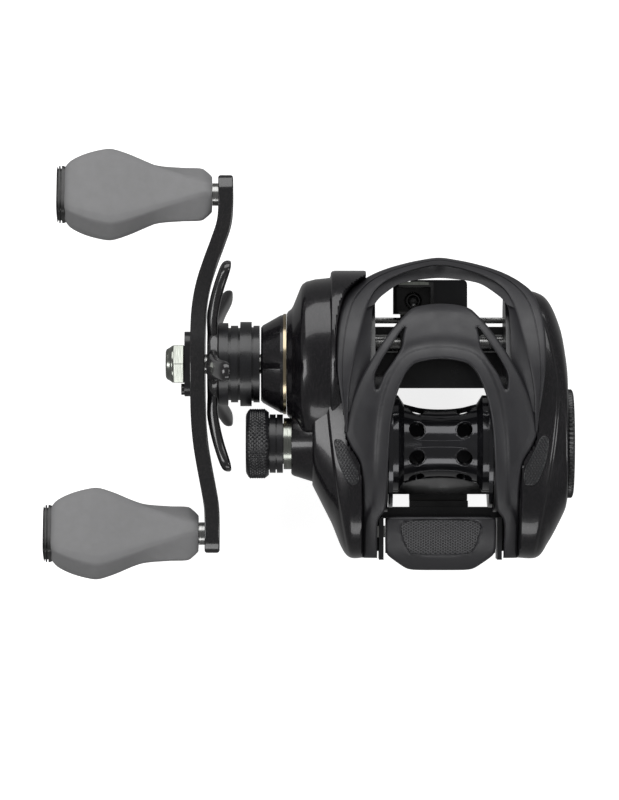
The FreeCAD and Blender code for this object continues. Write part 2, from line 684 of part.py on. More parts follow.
def worm_groove(hand):
    """A groove round the worm; hand is 1 or -1."""
    radius = dim("worm_rad").value
    helix = Part.makeHelix(9.0, 27.0, radius)
    profile = Part.Wire(Part.makePolygon([
        Vector(radius - 0.7, 0, -0.5), Vector(radius + 0.4, 0, -0.5), Vector(radius + 0.4, 0, 0.5),
        Vector(radius - 0.7, 0, 0.5), Vector(radius - 0.7, 0, -0.5),
    ]))
    groove = Part.Wire(helix).makePipeShell([profile], True, True)
    if hand < 0:
        groove = groove.mirror(Vector(0, 0, 0), Vector(0, 1, 0))
    groove.Placement = Placement(Vector(-13.5, worm_y.value, worm_z.value), Rotation(Vector(0, 1, 0), 90))
    return groove


def make_levelwind(to_worm):
    y, z = worm_y, worm_z
    radius = dim("worm_rad")
    shaft = turned([
        (-23.5, 0), (-23.5, 1.5), (-17.0, 1.5), (-17.0, radius), (17.0, radius), (17.0, 1.5), (19.4, 1.5), (19.4, 0),
    ], y, z)
    grooves = [shaped(worm_groove(hand), "groove") for hand in (1, -1)]
    node("worm_shaft", cut(shaft, *grooves))
    count = int(dim("worm_teeth").value)
    turn = to_worm + math.pi + math.pi / count
    node("worm_gear", bored_gear(dim("wind_tooth_size").value, count, -22.7, 1.5, y, z, turn, 1.5))
    node("worm_bushes", group(*[ring(3.0, 1.5 + RUN, x, 2.2, y, z) for x in (-19.4, 17.2)]))
    bar_y, bar_z, bar_rad = dim("guide_bar_y"), dim("guide_bar_z"), dim("guide_bar_rad")
    node("guide_bar", rod(bar_rad, -wall_out, wall_out * 2, bar_y, bar_z))

    x = dim("guide_x")
    carriage = block(x - 3.4, y - 3.6, 5.2, 6.8, 7.2, 8.4)
    neck = block(x - 3.4, 15.5, 5.2, 6.8, 6.4, 6.0)
    shell = padded("XZ_Plane", [
        (x - 5.3, 5.2), (x + 5.3, 5.2), (x + 5.3, 18.6), (x + 4.0, 20.2), (x - 4.0, 20.2), (x - 5.3, 18.6),
    ], 8.3, y=29.0)
    window = block(x - 3.2, 20, 12.6, 6.4, 10, 5.8)
    pit = block(x - 4.5, 21.2, 11.4, 9.0, 6.6, 10)
    node("line_guide", cut(
        fuse(carriage, neck, shell),
        pit, window,
        rod(radius + 0.08, x - 5, 10, y, z),
        rod(bar_rad + 0.08, x - 7, 14, bar_y, bar_z),
        post(1.0, 8, x, y, z + 1),
    ))
    eye = cut(block(x - 3.2, 20.5, 12.6, 6.4, 8.7, 5.8), block(x - 2.5, 20, 13.3, 5.0, 10, 4.4))
    rim = block(x - 4.0, 28.3, 20.2, 8.0, 0.7, 0.5)
    node("line_guide_eye", group(cut(eye, block(x - 4.5, 21.2, 11.4, 9.0, 6.6, 10)), rim))
    node("pawl", post(0.92, 1.8, x, y, z + radius + 0.15))
    node("pawl_cap", post(2.2, 1.0, x, y, 13.6))
    node("guide_cap", fuse(post(2.3, 1.0, x, 24.2, 11.4), post(1.8, 0.8, x, 24.2, 12.4)))


# ---------------------------------------------------------------- handle

def arm_line(side):
    """The middle line of one arm from the hub out: (x, y) places.  side is 1 to the front, -1 to the rear."""
    reach = dim("arm_pitch") / 2 * side
    shift = dim("arm_offset") + dim("arm_lean") * side
    steps = [(0.155, 0), (0.33, 0.05), (0.47, 0.2), (0.6, 0.45), (0.72, 0.72), (0.83, 0.94), (0.92, 1), (1.12, 1)]
    return [(dim("arm_hub_x") + shift * bend, drive_y + reach * along) for along, bend in steps]


def tip_x(side):
    return dim("arm_hub_x") + dim("arm_offset") + dim("arm_lean") * side


def knob_y(side):
    return drive_y + dim("arm_pitch") / 2 * side


def make_handle():
    half = dim("arm_thick") / 2
    middle = list(reversed(arm_line(-1))) + arm_line(1)
    strip = padded(
        "XY_Plane", [(x - half, y) for x, y in middle] + [(x + half, y) for x, y in reversed(middle)],
        24, z=drive_z - 12,
    )
    side = []
    for sign in (1, -1):
        reach = dim("arm_pitch") / 2 * sign
        side += [
            (drive_y + reach * along, drive_z + high * sign)
            for along, high in [
                (-0.1, 9.5), (0.12, 9.3), (0.24, 7.2), (0.45, 5.4), (0.85, 5.0), (1.0, 5.4), (1.12, 3.4),
            ]
        ]
        side += [(drive_y + reach * 1.12, drive_z - 3.4 * sign)]
        side += [
            (drive_y + reach * along, drive_z - low * sign)
            for along, low in [(1.0, 5.4), (0.85, 5.0), (0.45, 5.4), (0.24, 7.2), (0.12, 9.3)]
        ]
    profile = padded("YZ_Plane", side, 24, x=-76)
    holes = [rod(dim("knob_post_rad"), tip_x(s) - 4, 8, knob_y(s), drive_z) for s in (1, -1)]
    screw_y = drive_y - 6.7
    node("handle_arm", cut(
        common(strip, profile), *holes, rod(2, -70, 10, drive_y, drive_z), rod(0.8, -70, 6.8, screw_y, drive_z),
    ))
    plate_x = dim("arm_hub_x") - half - 1.6
    plate = padded("YZ_Plane", [(-8.6, -4.4), (8.6, -4.4), (8.6, 4.4), (-8.6, 4.4)], 1.6,
                   x=plate_x, y=drive_y, z=drive_z, rounding=3.5)
    node("nut_retainer", cut(plate, rod(2, -70, 10, drive_y, drive_z), rod(0.8, -70, 6, screw_y, drive_z)))
    turns = [math.radians(60 * i + 30) for i in range(6)]
    corners = [(5.77 * math.cos(turn), 5.77 * math.sin(turn)) for turn in turns]
    hexagon = padded("YZ_Plane", corners, 5.0, x=plate_x - 5.0, y=drive_y, z=drive_z)
    dome = turned([(-67.7, 0), (-67.7, 5.9), (-71.6, 5.9), (-72.7, 4.4), (-72.7, 0)], drive_y, drive_z)
    node("handle_nut", cut(common(hexagon, dome), rod(2, -70, 10, drive_y, drive_z)))
    node("retainer_screw", fuse(
        rod(1.5, plate_x - 0.9, 0.9, screw_y, drive_z), rod(0.8, plate_x, 4.4, screw_y, drive_z)))


KNOB_OUTLINE = [
    (0, 4.8), (-2.6, 5.6), (-13.6, 5.9), (-17.5, 7.0), (-22.5, 9.8), (-26, 12.9), (-28.2, 12.5), (-33.6, 9.9),
    (-37.4, 7.8), (-39.2, 6.2),
]


def make_knob(side, name):
    """A paddle grip with its bush, outer cap, and the post that it turns on."""
    y, z = knob_y(side), drive_z
    gap = dim("knob_gap")
    start = tip_x(side) - dim("arm_thick") / 2 - gap
    post_rad = dim("knob_post_rad")
    outline = KNOB_OUTLINE + [(x, -w) for x, w in reversed(KNOB_OUTLINE)]
    deep, wide, long = dim("knob_deep"), dim("knob_half"), dim("knob_long")
    plan = padded("XY_Plane", outline, deep * 2, z=-deep)
    section = padded("YZ_Plane", [
        (-wide, 0), (2.6 - wide, -deep), (wide - 2.6, -deep), (wide, 0), (wide - 2.6, deep), (2.6 - wide, deep),
    ], 60, x=-50)
    grip = common(plan, section)
    grip.Placement = Placement(Vector(0, 0, 0), Rotation(X_AXIS, dim("knob_roll").value))
    place(grip, start, y, z)
    node(f"knob_{name}", cut(grip, rod(3.4, start - 45, 50, y, z)))
    node(f"knob_{name}_bush", ring(3.4, post_rad + RUN, start - long + 2.3, long - 2.3, y, z))
    cap = padded("YZ_Plane", [(-5.6, -4.6), (5.6, -4.6), (5.6, 4.6), (-5.6, 4.6)], 2.0, rounding=2.5)
    cap.Placement = Placement(Vector(0, 0, 0), Rotation(X_AXIS, dim("knob_roll").value))
    place(cap, start - long - 2, y, z)
    node(f"knob_{name}_cap", fuse(cap, rod(3.4, start - long, 1.6, y, z)))
    node(f"knob_{name}_post", fuse(
        rod(post_rad, start - 35, size(35) + gap + dim("arm_thick"), y, z),
        rod(3.0, start + 0.1, gap - 0.1, y, z),
    ))


# ---------------------------------------------------------------- star drag and collar

def make_star():
    reach, thick, bend = dim("star_reach"), dim("star_thick"), dim("star_bend")
    turn = math.radians(90 + 4.4)
    corners = []
    for i in range(5):
        centre = turn + 2 * math.pi * i / 5
        for radius, off in [(10.5, -0.5), (17, -0.2), (25, -0.115), (27.8, -0.1)]:
            corners.append((radius * math.cos(centre + off), radius * math.sin(centre + off)))
        corners.append((reach.value * math.cos(centre), reach.value * math.sin(centre)))
        for radius, off in [(27.8, 0.1), (25, 0.115), (17, 0.2), (10.5, 0.5)]:
            corners.append((radius * math.cos(centre + off), radius * math.sin(centre + off)))
    plan = padded("YZ_Plane", corners, 12, x=-64, y=drive_y, z=drive_z)
    inner = -61.6
    dish = turned([
        (inner, 2.65), (inner, 12), (inner + bend * 0.35, 18), (inner + bend, 24), (inner + bend * 2, 30),
        (inner + bend * 2 + thick, 30), (inner + bend + thick, 24), (inner + bend * 0.35 + thick, 18),
        (inner + 3.1, 12), (inner + 3.1, 2.65),
    ], drive_y, drive_z)
    node("star_drag", common(plan, dish))
    node("star_collar", turned([
        (-58.5, 2.65), (-58.5, 10.9), (-56.1, 10.9), (-56.1, 9.6), (-55.4, 9.6), (-55.4, 10.2), (-53.5, 10.2),
        (-53.5, 9.6), (-52.9, 9.6), (-52.9, 11.2), (-49.9, 11.2), (-49.9, 9.8), (-49.4, 9.8), (-49.4, 10.2),
        (-47.8, 10.2), (-47.8, 5.0), (-50, 5.0), (-50, 2.65),
    ], drive_y, drive_z))


# ---------------------------------------------------------------- tension knob

def make_tension_knob():
    y, z = spool_y, spool_z
    outer, bore = dim("tension_rad"), dim("neck_rad") + 0.06
    node("tension_knob", turned([
        (-51.4, 0), (-51.4, outer - 1.3), (-50.5, outer), (-45.9, outer), (-45.3, outer - 0.8), (-45.3, 6.9),
        (-41.6, 6.9), (-41.6, bore), (-48.6, bore), (-48.6, 0),
    ], y, z))
    node("tension_rings", group(*[ring(7.75, 6.9, x, 1.6, y, z) for x in (-45.1, -43.2)]))
    node("tension_shim", rod(2.7, -48.6, 1.6, y, z))
    node("tension_collar", ring(6.8, dim("neck_rad"), -41.4, 2.0, y, z))


# ---------------------------------------------------------------- brake

def make_brake():
    y, z = spool_y, spool_z
    node("brake_hub", turned([
        (15.6, 4.0), (15.6, 6.0), (17.7, 6.0), (17.7, 17.2), (19.4, 17.2), (19.4, 6.6), (27.4, 6.6), (27.4, 4.0),
    ], y, z))
    node("magnet_carrier", ring(12.2, 6.0 + RUN, 15.2, 1.0, y, z))
    magnets = []
    for i in range(6):
        angle = math.pi * i / 3
        magnets.append(rod(1.6, 14.4, 0.8, y + 9.6 * math.cos(angle), z + 9.6 * math.sin(angle)))
    node("brake_magnets", group(*magnets))
    face = dim("dial_x") + 0.1
    radius = dim("dial_rad")
    disc = turned([
        (28.2, 0), (28.2, 4.5), (face, 4.5), (face, radius), (face + 1.1, radius), (face + 1.7, radius - 1.2),
        (face + 1.7, 9.4), (face + 1.2, 8.8), (face + 1.2, 0),
    ], y, z)
    node("brake_dial", fuse(disc, block(face + 1.1, y - 8, z - 1.6, 1.1, 16, 3.2)))


# ---------------------------------------------------------------- assembly

make_frame()
make_hood()
room = hood_room()
make_gear_cover(room)
make_palm_cover(room)
make_spool()
angle_to_pinion, angle_to_worm = make_drive_train()
make_pinion(angle_to_pinion)
make_clutch()
make_thumb_bar()
make_levelwind(angle_to_worm)
make_handle()
make_knob(1, "front")
make_knob(-1, "rear")
make_star()
make_tension_knob()
make_brake()
doc.recompute()

for thing in doc.Objects:
    if "Invalid" in thing.State or "Error" in thing.State:
        raise RuntimeError(f"{thing.Name} ({thing.Label}) is broken: {thing.State}")
for name, thing in NODES.items():
    if thing.Shape.isNull() or not thing.Shape.isValid():
        raise RuntimeError(f"{name} has no sound shape")

os.makedirs("parts", exist_ok=True)
for name, thing in NODES.items():
    thing.Shape.exportStep(f"parts/{name}.step")
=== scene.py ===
"""Looks of a low-profile baitcasting reel, built around its CAD frame.

Lengths here are millimetres, and MM turns them into Blender's metres. +X is the palm side, +Y points to
the rod tip and +Z is up.
"""
import json
import math

import bmesh
import bpy
import numpy as np
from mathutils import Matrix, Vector
from mathutils.bvhtree import BVHTree
from mathutils.geometry import delaunay_2d_cdt


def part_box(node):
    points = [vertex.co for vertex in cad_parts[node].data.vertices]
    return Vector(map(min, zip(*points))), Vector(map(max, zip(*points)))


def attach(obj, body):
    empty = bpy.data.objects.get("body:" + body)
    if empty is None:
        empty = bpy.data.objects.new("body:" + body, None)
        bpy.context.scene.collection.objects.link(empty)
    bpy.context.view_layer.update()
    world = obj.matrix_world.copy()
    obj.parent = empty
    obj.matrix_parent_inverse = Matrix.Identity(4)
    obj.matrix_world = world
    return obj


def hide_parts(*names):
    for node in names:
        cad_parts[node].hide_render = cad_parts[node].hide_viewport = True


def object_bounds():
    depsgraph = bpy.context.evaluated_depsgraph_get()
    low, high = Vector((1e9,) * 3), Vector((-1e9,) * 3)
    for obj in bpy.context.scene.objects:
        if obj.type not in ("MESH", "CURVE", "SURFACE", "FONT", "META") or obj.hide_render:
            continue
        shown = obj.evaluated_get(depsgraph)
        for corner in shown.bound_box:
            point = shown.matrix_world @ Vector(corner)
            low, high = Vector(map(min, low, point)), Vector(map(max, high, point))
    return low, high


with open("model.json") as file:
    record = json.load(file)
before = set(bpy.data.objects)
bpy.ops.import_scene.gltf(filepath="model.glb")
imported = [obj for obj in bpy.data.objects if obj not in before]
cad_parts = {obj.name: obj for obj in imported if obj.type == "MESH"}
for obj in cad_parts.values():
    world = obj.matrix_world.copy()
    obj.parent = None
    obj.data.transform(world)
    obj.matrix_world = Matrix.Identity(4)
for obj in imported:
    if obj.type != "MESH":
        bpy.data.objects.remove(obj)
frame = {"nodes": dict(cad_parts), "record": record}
cad_low, cad_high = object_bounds()
nodes = frame["nodes"]
MM = 0.001

# ------------------------------------------------------------------ places read from the frame


def centre_mm(node):
    """Middle of a CAD node's box, in millimetres."""
    low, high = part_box(node)
    return [(a + b) / 2 / MM for a, b in zip(low, high)]


def box_mm(node):
    low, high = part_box(node)
    return [v / MM for v in low], [v / MM for v in high]


DRIVE_Y, DRIVE_Z = centre_mm("main_gear")[1:]
SPOOL_Y, SPOOL_Z = centre_mm("spool")[1:]


# ------------------------------------------------------------------ materials

def principled(name, colour, rough, metal=0.0, coat=0.0):
    material = bpy.data.materials.new(name)
    material.use_nodes = True
    shader = material.node_tree.nodes["Principled BSDF"]
    shader.inputs["Base Color"].default_value = (*colour, 1)
    shader.inputs["Roughness"].default_value = rough
    shader.inputs["Metallic"].default_value = metal
    shader.inputs["Coat Weight"].default_value = coat
    shader.inputs["Coat Roughness"].default_value = 0.06
    return material, material.node_tree, shader


def noise(tree, scale_mm, detail=2.0, stretch=(1, 1, 1)):
    """A noise whose grain is about scale_mm across, in the object's own coordinates."""
    place = tree.nodes.new("ShaderNodeTexCoord")
    spread = tree.nodes.new("ShaderNodeMapping")
    spread.inputs["Scale"].default_value = stretch
    grain = tree.nodes.new("ShaderNodeTexNoise")
    grain.inputs["Scale"].default_value = 1 / (scale_mm * MM)
    grain.inputs["Detail"].default_value = detail
    tree.links.new(place.outputs["Object"], spread.inputs["Vector"])
    tree.links.new(spread.outputs["Vector"], grain.inputs["Vector"])
    return grain.outputs["Fac"]


def ramp(tree, source, stops):
    """Colours (or greys) against a 0 to 1 source: stops are (position, colour)."""
    band = tree.nodes.new("ShaderNodeValToRGB")
    points = band.color_ramp.elements
    while len(points) < len(stops):
        points.new(0.5)
    for point, (position, colour) in zip(points, stops):
        point.position = position
        point.color = (*colour, 1) if isinstance(colour, tuple) else (colour, colour, colour, 1)
    tree.links.new(source, band.inputs["Fac"])
    return band.outputs["Color"]


def bump(tree, shader, source, depth_mm):
    node = tree.nodes.new("ShaderNodeBump")
    node.inputs["Distance"].default_value = depth_mm * MM
    node.inputs["Strength"].default_value = 1.0
    tree.links.new(source, node.inputs["Height"])
    tree.links.new(node.outputs["Normal"], shader.inputs["Normal"])


def tinted(name, dark, light, rough, metal=0.0, coat=0.0, grain_mm=6.0, bump_mm=0.0, bump_grain=0.25,
           wear=0.06):
    """A finish whose colour wanders between dark and light, with roughness to match and a fine grain."""
    material, tree, shader = principled(name, light, rough, metal, coat)
    patches = noise(tree, grain_mm, 3)
    tree.links.new(ramp(tree, patches, [(0.3, dark), (0.7, light)]), shader.inputs["Base Color"])
    tree.links.new(ramp(tree, noise(tree, grain_mm * 0.4, 4), [(0.3, rough - wear), (0.7, rough + wear)]),
                   shader.inputs["Roughness"])
    if bump_mm:
        bump(tree, shader, noise(tree, bump_grain, 2), bump_mm)
    return material


FLAKE_MM, FLAKE_BARE = 0.16, 0.62  # size of a flake, and the share of the paint that has none


def flake_paint(name, base, flake, rough, coat):
    """Gloss paint with fine metal flakes under a clear coat."""
    material, tree, shader = principled(name, base, rough, 0.3, coat)
    place = tree.nodes.new("ShaderNodeTexCoord")
    cells = tree.nodes.new("ShaderNodeTexVoronoi")
    cells.inputs["Scale"].default_value = 1 / (FLAKE_MM * MM)
    tree.links.new(place.outputs["Object"], cells.inputs["Vector"])
    split = tree.nodes.new("ShaderNodeSeparateColor")
    tree.links.new(cells.outputs["Color"], split.inputs["Color"])
    speckle = ramp(tree, split.outputs["Red"], [(FLAKE_BARE, base), (1.0, flake)])
    tree.links.new(speckle, shader.inputs["Base Color"])
    return material


def turned_metal(name, dark, light, rough):
    """Metal with the fine rings that a lathe leaves round the X axis."""
    material, tree, shader = principled(name, light, rough, 1.0)
    ring_mm = 0.12
    rings = noise(tree, ring_mm, 2, (1, 0.04, 0.04))
    tree.links.new(ramp(tree, rings, [(0.3, dark), (0.7, light)]), shader.inputs["Base Color"])
    bump(tree, shader, rings, 0.01)
    return material


WAVE_LENGTH = math.pi / 10  # of a wave texture whose scale is 1


def two_sockets(tree, operation, first, second):
    """A math node on a socket and either a second socket or a number."""
    node = tree.nodes.new("ShaderNodeMath")
    node.operation = operation
    tree.links.new(first, node.inputs[0])
    if isinstance(second, int):
        node.inputs[1].default_value = second
    else:
        tree.links.new(second, node.inputs[1])
    return node.outputs["Value"]


def honeycomb(name, ground, pip_highlight, rough, pitch_mm, depth_mm):
    """A finish moulded with fine pips in a honeycomb: the sum of three waves, a third of a turn apart. The
    raised pip tops are coloured lighter than the ground between them, a painted highlight.
    """
    material, tree, shader = principled(name, ground, rough)
    place = tree.nodes.new("ShaderNodeTexCoord")
    row_gap = pitch_mm * MM * math.sin(math.pi / 3)
    waves = []
    for turn in (0, 60, 120):
        spread = tree.nodes.new("ShaderNodeMapping")
        spread.inputs["Rotation"].default_value = (0, 0, math.radians(turn))
        wave = tree.nodes.new("ShaderNodeTexWave")
        wave.inputs["Scale"].default_value = WAVE_LENGTH / row_gap
        tree.links.new(place.outputs["Object"], spread.inputs["Vector"])
        tree.links.new(spread.outputs["Vector"], wave.inputs["Vector"])
        waves.append(wave.outputs["Fac"])
    both = two_sockets(tree, "ADD", waves[0], waves[1])
    height = two_sockets(tree, "DIVIDE", two_sockets(tree, "ADD", both, waves[2]), len(waves))
    # Painted highlight: colour runs from the ground colour in the hollows to a much lighter colour on the
    # raised pip tops.
    tree.links.new(ramp(tree, height, [(0.35, ground), (0.6, pip_highlight)]), shader.inputs["Base Color"])
    bump(tree, shader, height, depth_mm)
    return material


def make_materials():
    return {
        "hood_grey": tinted("hood_grey", (0.0145, 0.0142, 0.0165), (0.019, 0.0186, 0.0215), 0.46,
                            grain_mm=9, bump_mm=0.010, bump_grain=0.16),
        "cover_black": flake_paint("cover_black", (0.003, 0.003, 0.004), (0.026, 0.022, 0.026), 0.24, 0.4),
        "frame_black": tinted("frame_black", (0.005, 0.005, 0.006), (0.009, 0.009, 0.011), 0.32,
                              coat=0.15, grain_mm=8),
        "steel": turned_metal("steel", (0.20, 0.20, 0.20), (0.38, 0.38, 0.37), 0.24),
        "black_steel": tinted("black_steel", (0.05, 0.05, 0.05), (0.10, 0.10, 0.10), 0.28,
                              metal=0.9, grain_mm=2),
        "champagne_metal": turned_metal("champagne_metal", (0.30, 0.25, 0.17), (0.48, 0.41, 0.29), 0.2),
        "silver_metal": turned_metal("silver_metal", (0.20, 0.21, 0.19), (0.36, 0.375, 0.34), 0.22),
        "brass": turned_metal("brass", (0.42, 0.28, 0.10), (0.62, 0.44, 0.18), 0.25),
        "carbon_washer": tinted("carbon_washer", (0.015, 0.015, 0.015), (0.05, 0.05, 0.05), 0.5,
                                coat=0.2, grain_mm=0.8),
        "white_plastic": tinted("white_plastic", (0.60, 0.59, 0.55), (0.72, 0.71, 0.67), 0.42, grain_mm=5),
        "arm_grey": flake_paint("arm_grey", (0.008, 0.008, 0.009), (0.030, 0.027, 0.028), 0.22, 0.8),
        "knob_rubber": tinted("knob_rubber", (0.168, 0.168, 0.170), (0.180, 0.180, 0.183), 0.60,
                              grain_mm=2.4, bump_mm=0.022, bump_grain=0.2, wear=0.03),
        "black_plastic": tinted("black_plastic", (0.008, 0.008, 0.008), (0.016, 0.016, 0.016), 0.4,
                                coat=0.1, grain_mm=4, bump_mm=0.008, bump_grain=0.2),
        "spool_black": tinted("spool_black", (0.012, 0.012, 0.014), (0.022, 0.022, 0.026), 0.17,
                              metal=0.6, coat=0.6, grain_mm=10),
        # The second colour is a painted highlight on the raised pip tops of the thumb pad.
        "pad_grey": honeycomb("pad_grey", (0.005, 0.005, 0.006), (0.050, 0.050, 0.053), 0.45, 0.75, 0.12),
    }


FINISH = make_materials()


# ------------------------------------------------------------------ mesh helpers

def piece(name, verts, faces, slot, body, replaced, smooth_deg, bevel_mm=0.0):
    """A new piece from millimetre vertices, riding on a body and standing for the CAD nodes in replaced."""
    mesh = bpy.data.meshes.new(name)
    mesh.from_pydata([Vector(v) * MM for v in verts], [], faces)
    mesh.validate()
    obj = bpy.data.objects.new(name, mesh)
    bpy.context.collection.objects.link(obj)
    bm = bmesh.new()
    bm.from_mesh(mesh)
    bmesh.ops.remove_doubles(bm, verts=bm.verts, dist=1e-7)
    bmesh.ops.delete(bm, geom=[edge for edge in bm.edges if not edge.link_faces], context="EDGES")
    bmesh.ops.recalc_face_normals(bm, faces=bm.faces)
    bm.to_mesh(mesh)
    bm.free()
    mesh.materials.append(FINISH[slot])
    finish_mesh(obj, smooth_deg, bevel_mm)
    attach(obj, body)
    if replaced:
        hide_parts(*replaced)
    return obj


def finish_mesh(obj, smooth_deg, bevel_mm):
    """Smooth shading but for edges sharper than smooth_deg, and rounded corners if bevel_mm isn't 0."""
    if bevel_mm:
        bevel = obj.modifiers.new("bevel", "BEVEL")
        bevel.width = bevel_mm * MM
        bevel.segments = 2
        bevel.limit_method = "ANGLE"
        bevel.angle_limit = math.radians(35)
        bevel.harden_normals = False
    for face in obj.data.polygons:
        face.use_smooth = True
    obj.data.set_sharp_from_angle(angle=math.radians(smooth_deg))


def spline(points, count, closed=False):
    """count places on a smooth curve through the points, evenly spread along it."""
    places = [np.array(p, dtype=float) for p in points]
    if closed:
        places = [places[-1]] + places + places[:2]
    else:
        places = [2 * places[0] - places[1]] + places + [2 * places[-1] - places[-2]]
    dense = []
    for p0, p1, p2, p3 in zip(places, places[1:], places[2:], places[3:]):
        gaps = [max(np.linalg.norm(b - a), 1e-6) ** 0.5 for a, b in ((p0, p1), (p1, p2), (p2, p3))]
        t0, t1 = 0.0, gaps[0]
        t2, t3 = t1 + gaps[1], t1 + gaps[1] + gaps[2]
        for t in np.linspace(t1, t2, 24, endpoint=False):
            a1 = (t1 - t) / (t1 - t0) * p0 + (t - t0) / (t1 - t0) * p1
            a2 = (t2 - t) / (t2 - t1) * p1 + (t - t1) / (t2 - t1) * p2
            a3 = (t3 - t) / (t3 - t2) * p2 + (t - t2) / (t3 - t2) * p3
            b1 = (t2 - t) / (t2 - t0) * a1 + (t - t0) / (t2 - t0) * a2
            b2 = (t3 - t) / (t3 - t1) * a2 + (t - t1) / (t3 - t1) * a3
            dense.append((t2 - t) / (t2 - t1) * b1 + (t - t1) / (t2 - t1) * b2)
    dense.append(dense[0] if closed else places[-2])
    dense = np.array(dense)
    lengths = np.concatenate([[0], np.cumsum(np.linalg.norm(np.diff(dense, axis=0), axis=1))])
    wanted = np.linspace(0, lengths[-1], count, endpoint=not closed)
    return np.stack([np.interp(wanted, lengths, dense[:, k]) for k in range(dense.shape[1])], axis=1)


def curve_value(points):
    """A smooth function through (place, value) points that runs on level past both ends."""
    dense = spline(points, 400)
    order = np.argsort(dense[:, 0])
    return lambda at: np.interp(at, dense[order, 0], dense[order, 1])


def skin(rings, cap=True):
    """Faces between closed rings of equally many vertices: (verts, faces)."""
    count = len(rings[0])
    verts = [tuple(v) for ring in rings for v in ring]
    faces = []
    for i in range(len(rings) - 1):
        for j in range(count):
            k = (j + 1) % count
            faces.append((i * count + j, i * count + k, (i + 1) * count + k, (i + 1) * count + j))
    if cap:
        faces.append(tuple(reversed(range(count))))
        faces.append(tuple(range((len(rings) - 1) * count, len(rings) * count)))
    return verts, faces


def join_parts(*parts):
    """Several (verts, faces) as one."""
    verts, faces = [], []
    for part_verts, part_faces in parts:
        start = len(verts)
        verts += part_verts
        faces += [tuple(i + start for i in face) for face in part_faces]
    return verts, faces


def lathe(profile, y, z, teeth=0, steps=96, lead=0.0):
    """A closed profile turned round an axis along X: (x, radius) or (x, radius, depth of its knurl).

    A knurl runs straight along X, or crosses itself in diamonds if it has a lead, in radians per millimetre.
    """
    if teeth:
        steps = teeth * 6
    rings = []
    for x, radius, *knurl in profile:
        depth = knurl[0] if knurl else 0.0
        ring = []
        for i in range(steps):
            angle = 2 * math.pi * i / steps
            waves = [math.cos(teeth * angle / 2 + lead * x), math.cos(teeth * angle / 2 - lead * x)]
            reach = radius - depth * (1 - abs(waves[0] * waves[1]))
            ring.append((x, y + reach * math.cos(angle), z + reach * math.sin(angle)))
        rings.append(ring)
    verts, faces = skin(rings + rings[:1], cap=False)
    count = steps * len(profile)
    return verts[:count], [tuple(i % count for i in face) for face in faces]


def rounded(points, passes=2, share=0.25):
    """A closed outline with its corners cut back again and again until they are round."""
    for _ in range(passes):
        softer = []
        for a, b in zip(points, points[1:] + points[:1]):
            a, b = np.array(a, dtype=float), np.array(b, dtype=float)
            softer += [tuple(a + (b - a) * share), tuple(b - (b - a) * share)]
        points = softer
    return points


def smooth_step(value):
    value = np.clip(value, 0, 1)
    return value * value * (3 - 2 * value)


# ------------------------------------------------------------------ hood

# Outlines in plan of its right-hand half, from the middle plane round to the back.
RIM_OUTER = [(0, 35.8), (4.5, 35.2), (9, 34.2), (14, 32.7), (18, 31), (21.5, 28.8), (24.4, 26), (26.4, 21),
             (27.4, 14), (27.4, 7), (26.6, 0), (25.6, -6), (25.1, -10.8)]
RIM_INNER = [(0, 33.5), (4.5, 32.8), (8, 31.8), (12, 30.3), (15.2, 28.4), (17.4, 26.2), (19.4, 22),
             (21.2, 15), (22.8, 8), (24, 1), (24.4, -5.6), (24.6, -10.4)]
LIP_INNER = [(0, 30.2), (4, 29.9), (8, 29.3), (11, 28.4), (14, 26.4), (16.4, 24.3), (17.8, 22), (18.2, 18),
             (18.4, 12), (18.6, 8), (19, 4), (19.4, 0)]
SADDLE_OUTER = [(0, 23.1), (4.6, 22.7), (7.6, 21.8), (9.4, 20.2), (13, 16.2), (17.4, 9.8), (21, 3.4),
                (23.4, -2), (25, -7), (25.2, -10.6), (23.6, -14.6), (21.4, -18.4), (20.8, -22), (20.4, -32),
                (20.3, -44)]
ARCH_INNER = [(0, 8.5), (4, 8.1), (7, 7.2), (9, 5.2), (10.4, 2.6), (11.6, -0.6), (12.7, -5), (13.4, -10),
              (13.9, -18), (14.2, -26), (14.9, -31.4), (16.4, -33.6), (16.7, -44)]
SLOT = [(9.6, 16.8), (12.6, 12.8), (15.8, 7.8), (17.4, 4.2), (16.9, 0.4), (15, 4.4), (12.2, 8.6),
        (10.4, 11.6), (10, 14.4)]
# Heights of its upper surfaces, and the depth of the rim, against Y.
rim_top = curve_value([(37, 9), (35.8, 13), (33, 20), (28, 27.6), (20, 35.4), (14, 38.9), (8, 41), (2, 41.9),
                       (-4, 42.0), (-12, 40.9)])
saddle_top = curve_value([(24, 33), (21, 36.4), (17, 38.7), (10, 41.2), (2, 43), (-8, 43.9), (-20, 43.2),
                          (-30, 39.8), (-38, 34.6), (-45, 28)])
rim_depth = curve_value([(36, 6.6), (32, 6.2), (27, 3.6), (22, 2.2), (10, 1.8), (-12, 1.7)])
SADDLE_CROWN = 0.0042  # fall of the saddle, per square millimetre out from its middle
SADDLE_THICK = 2.7


def both_sides(points):
    """A right-hand outline that starts on the middle plane, joined to its mirror image, left to right."""
    return [(-x, y) for x, y in reversed(points) if x > 1e-6] + list(points)


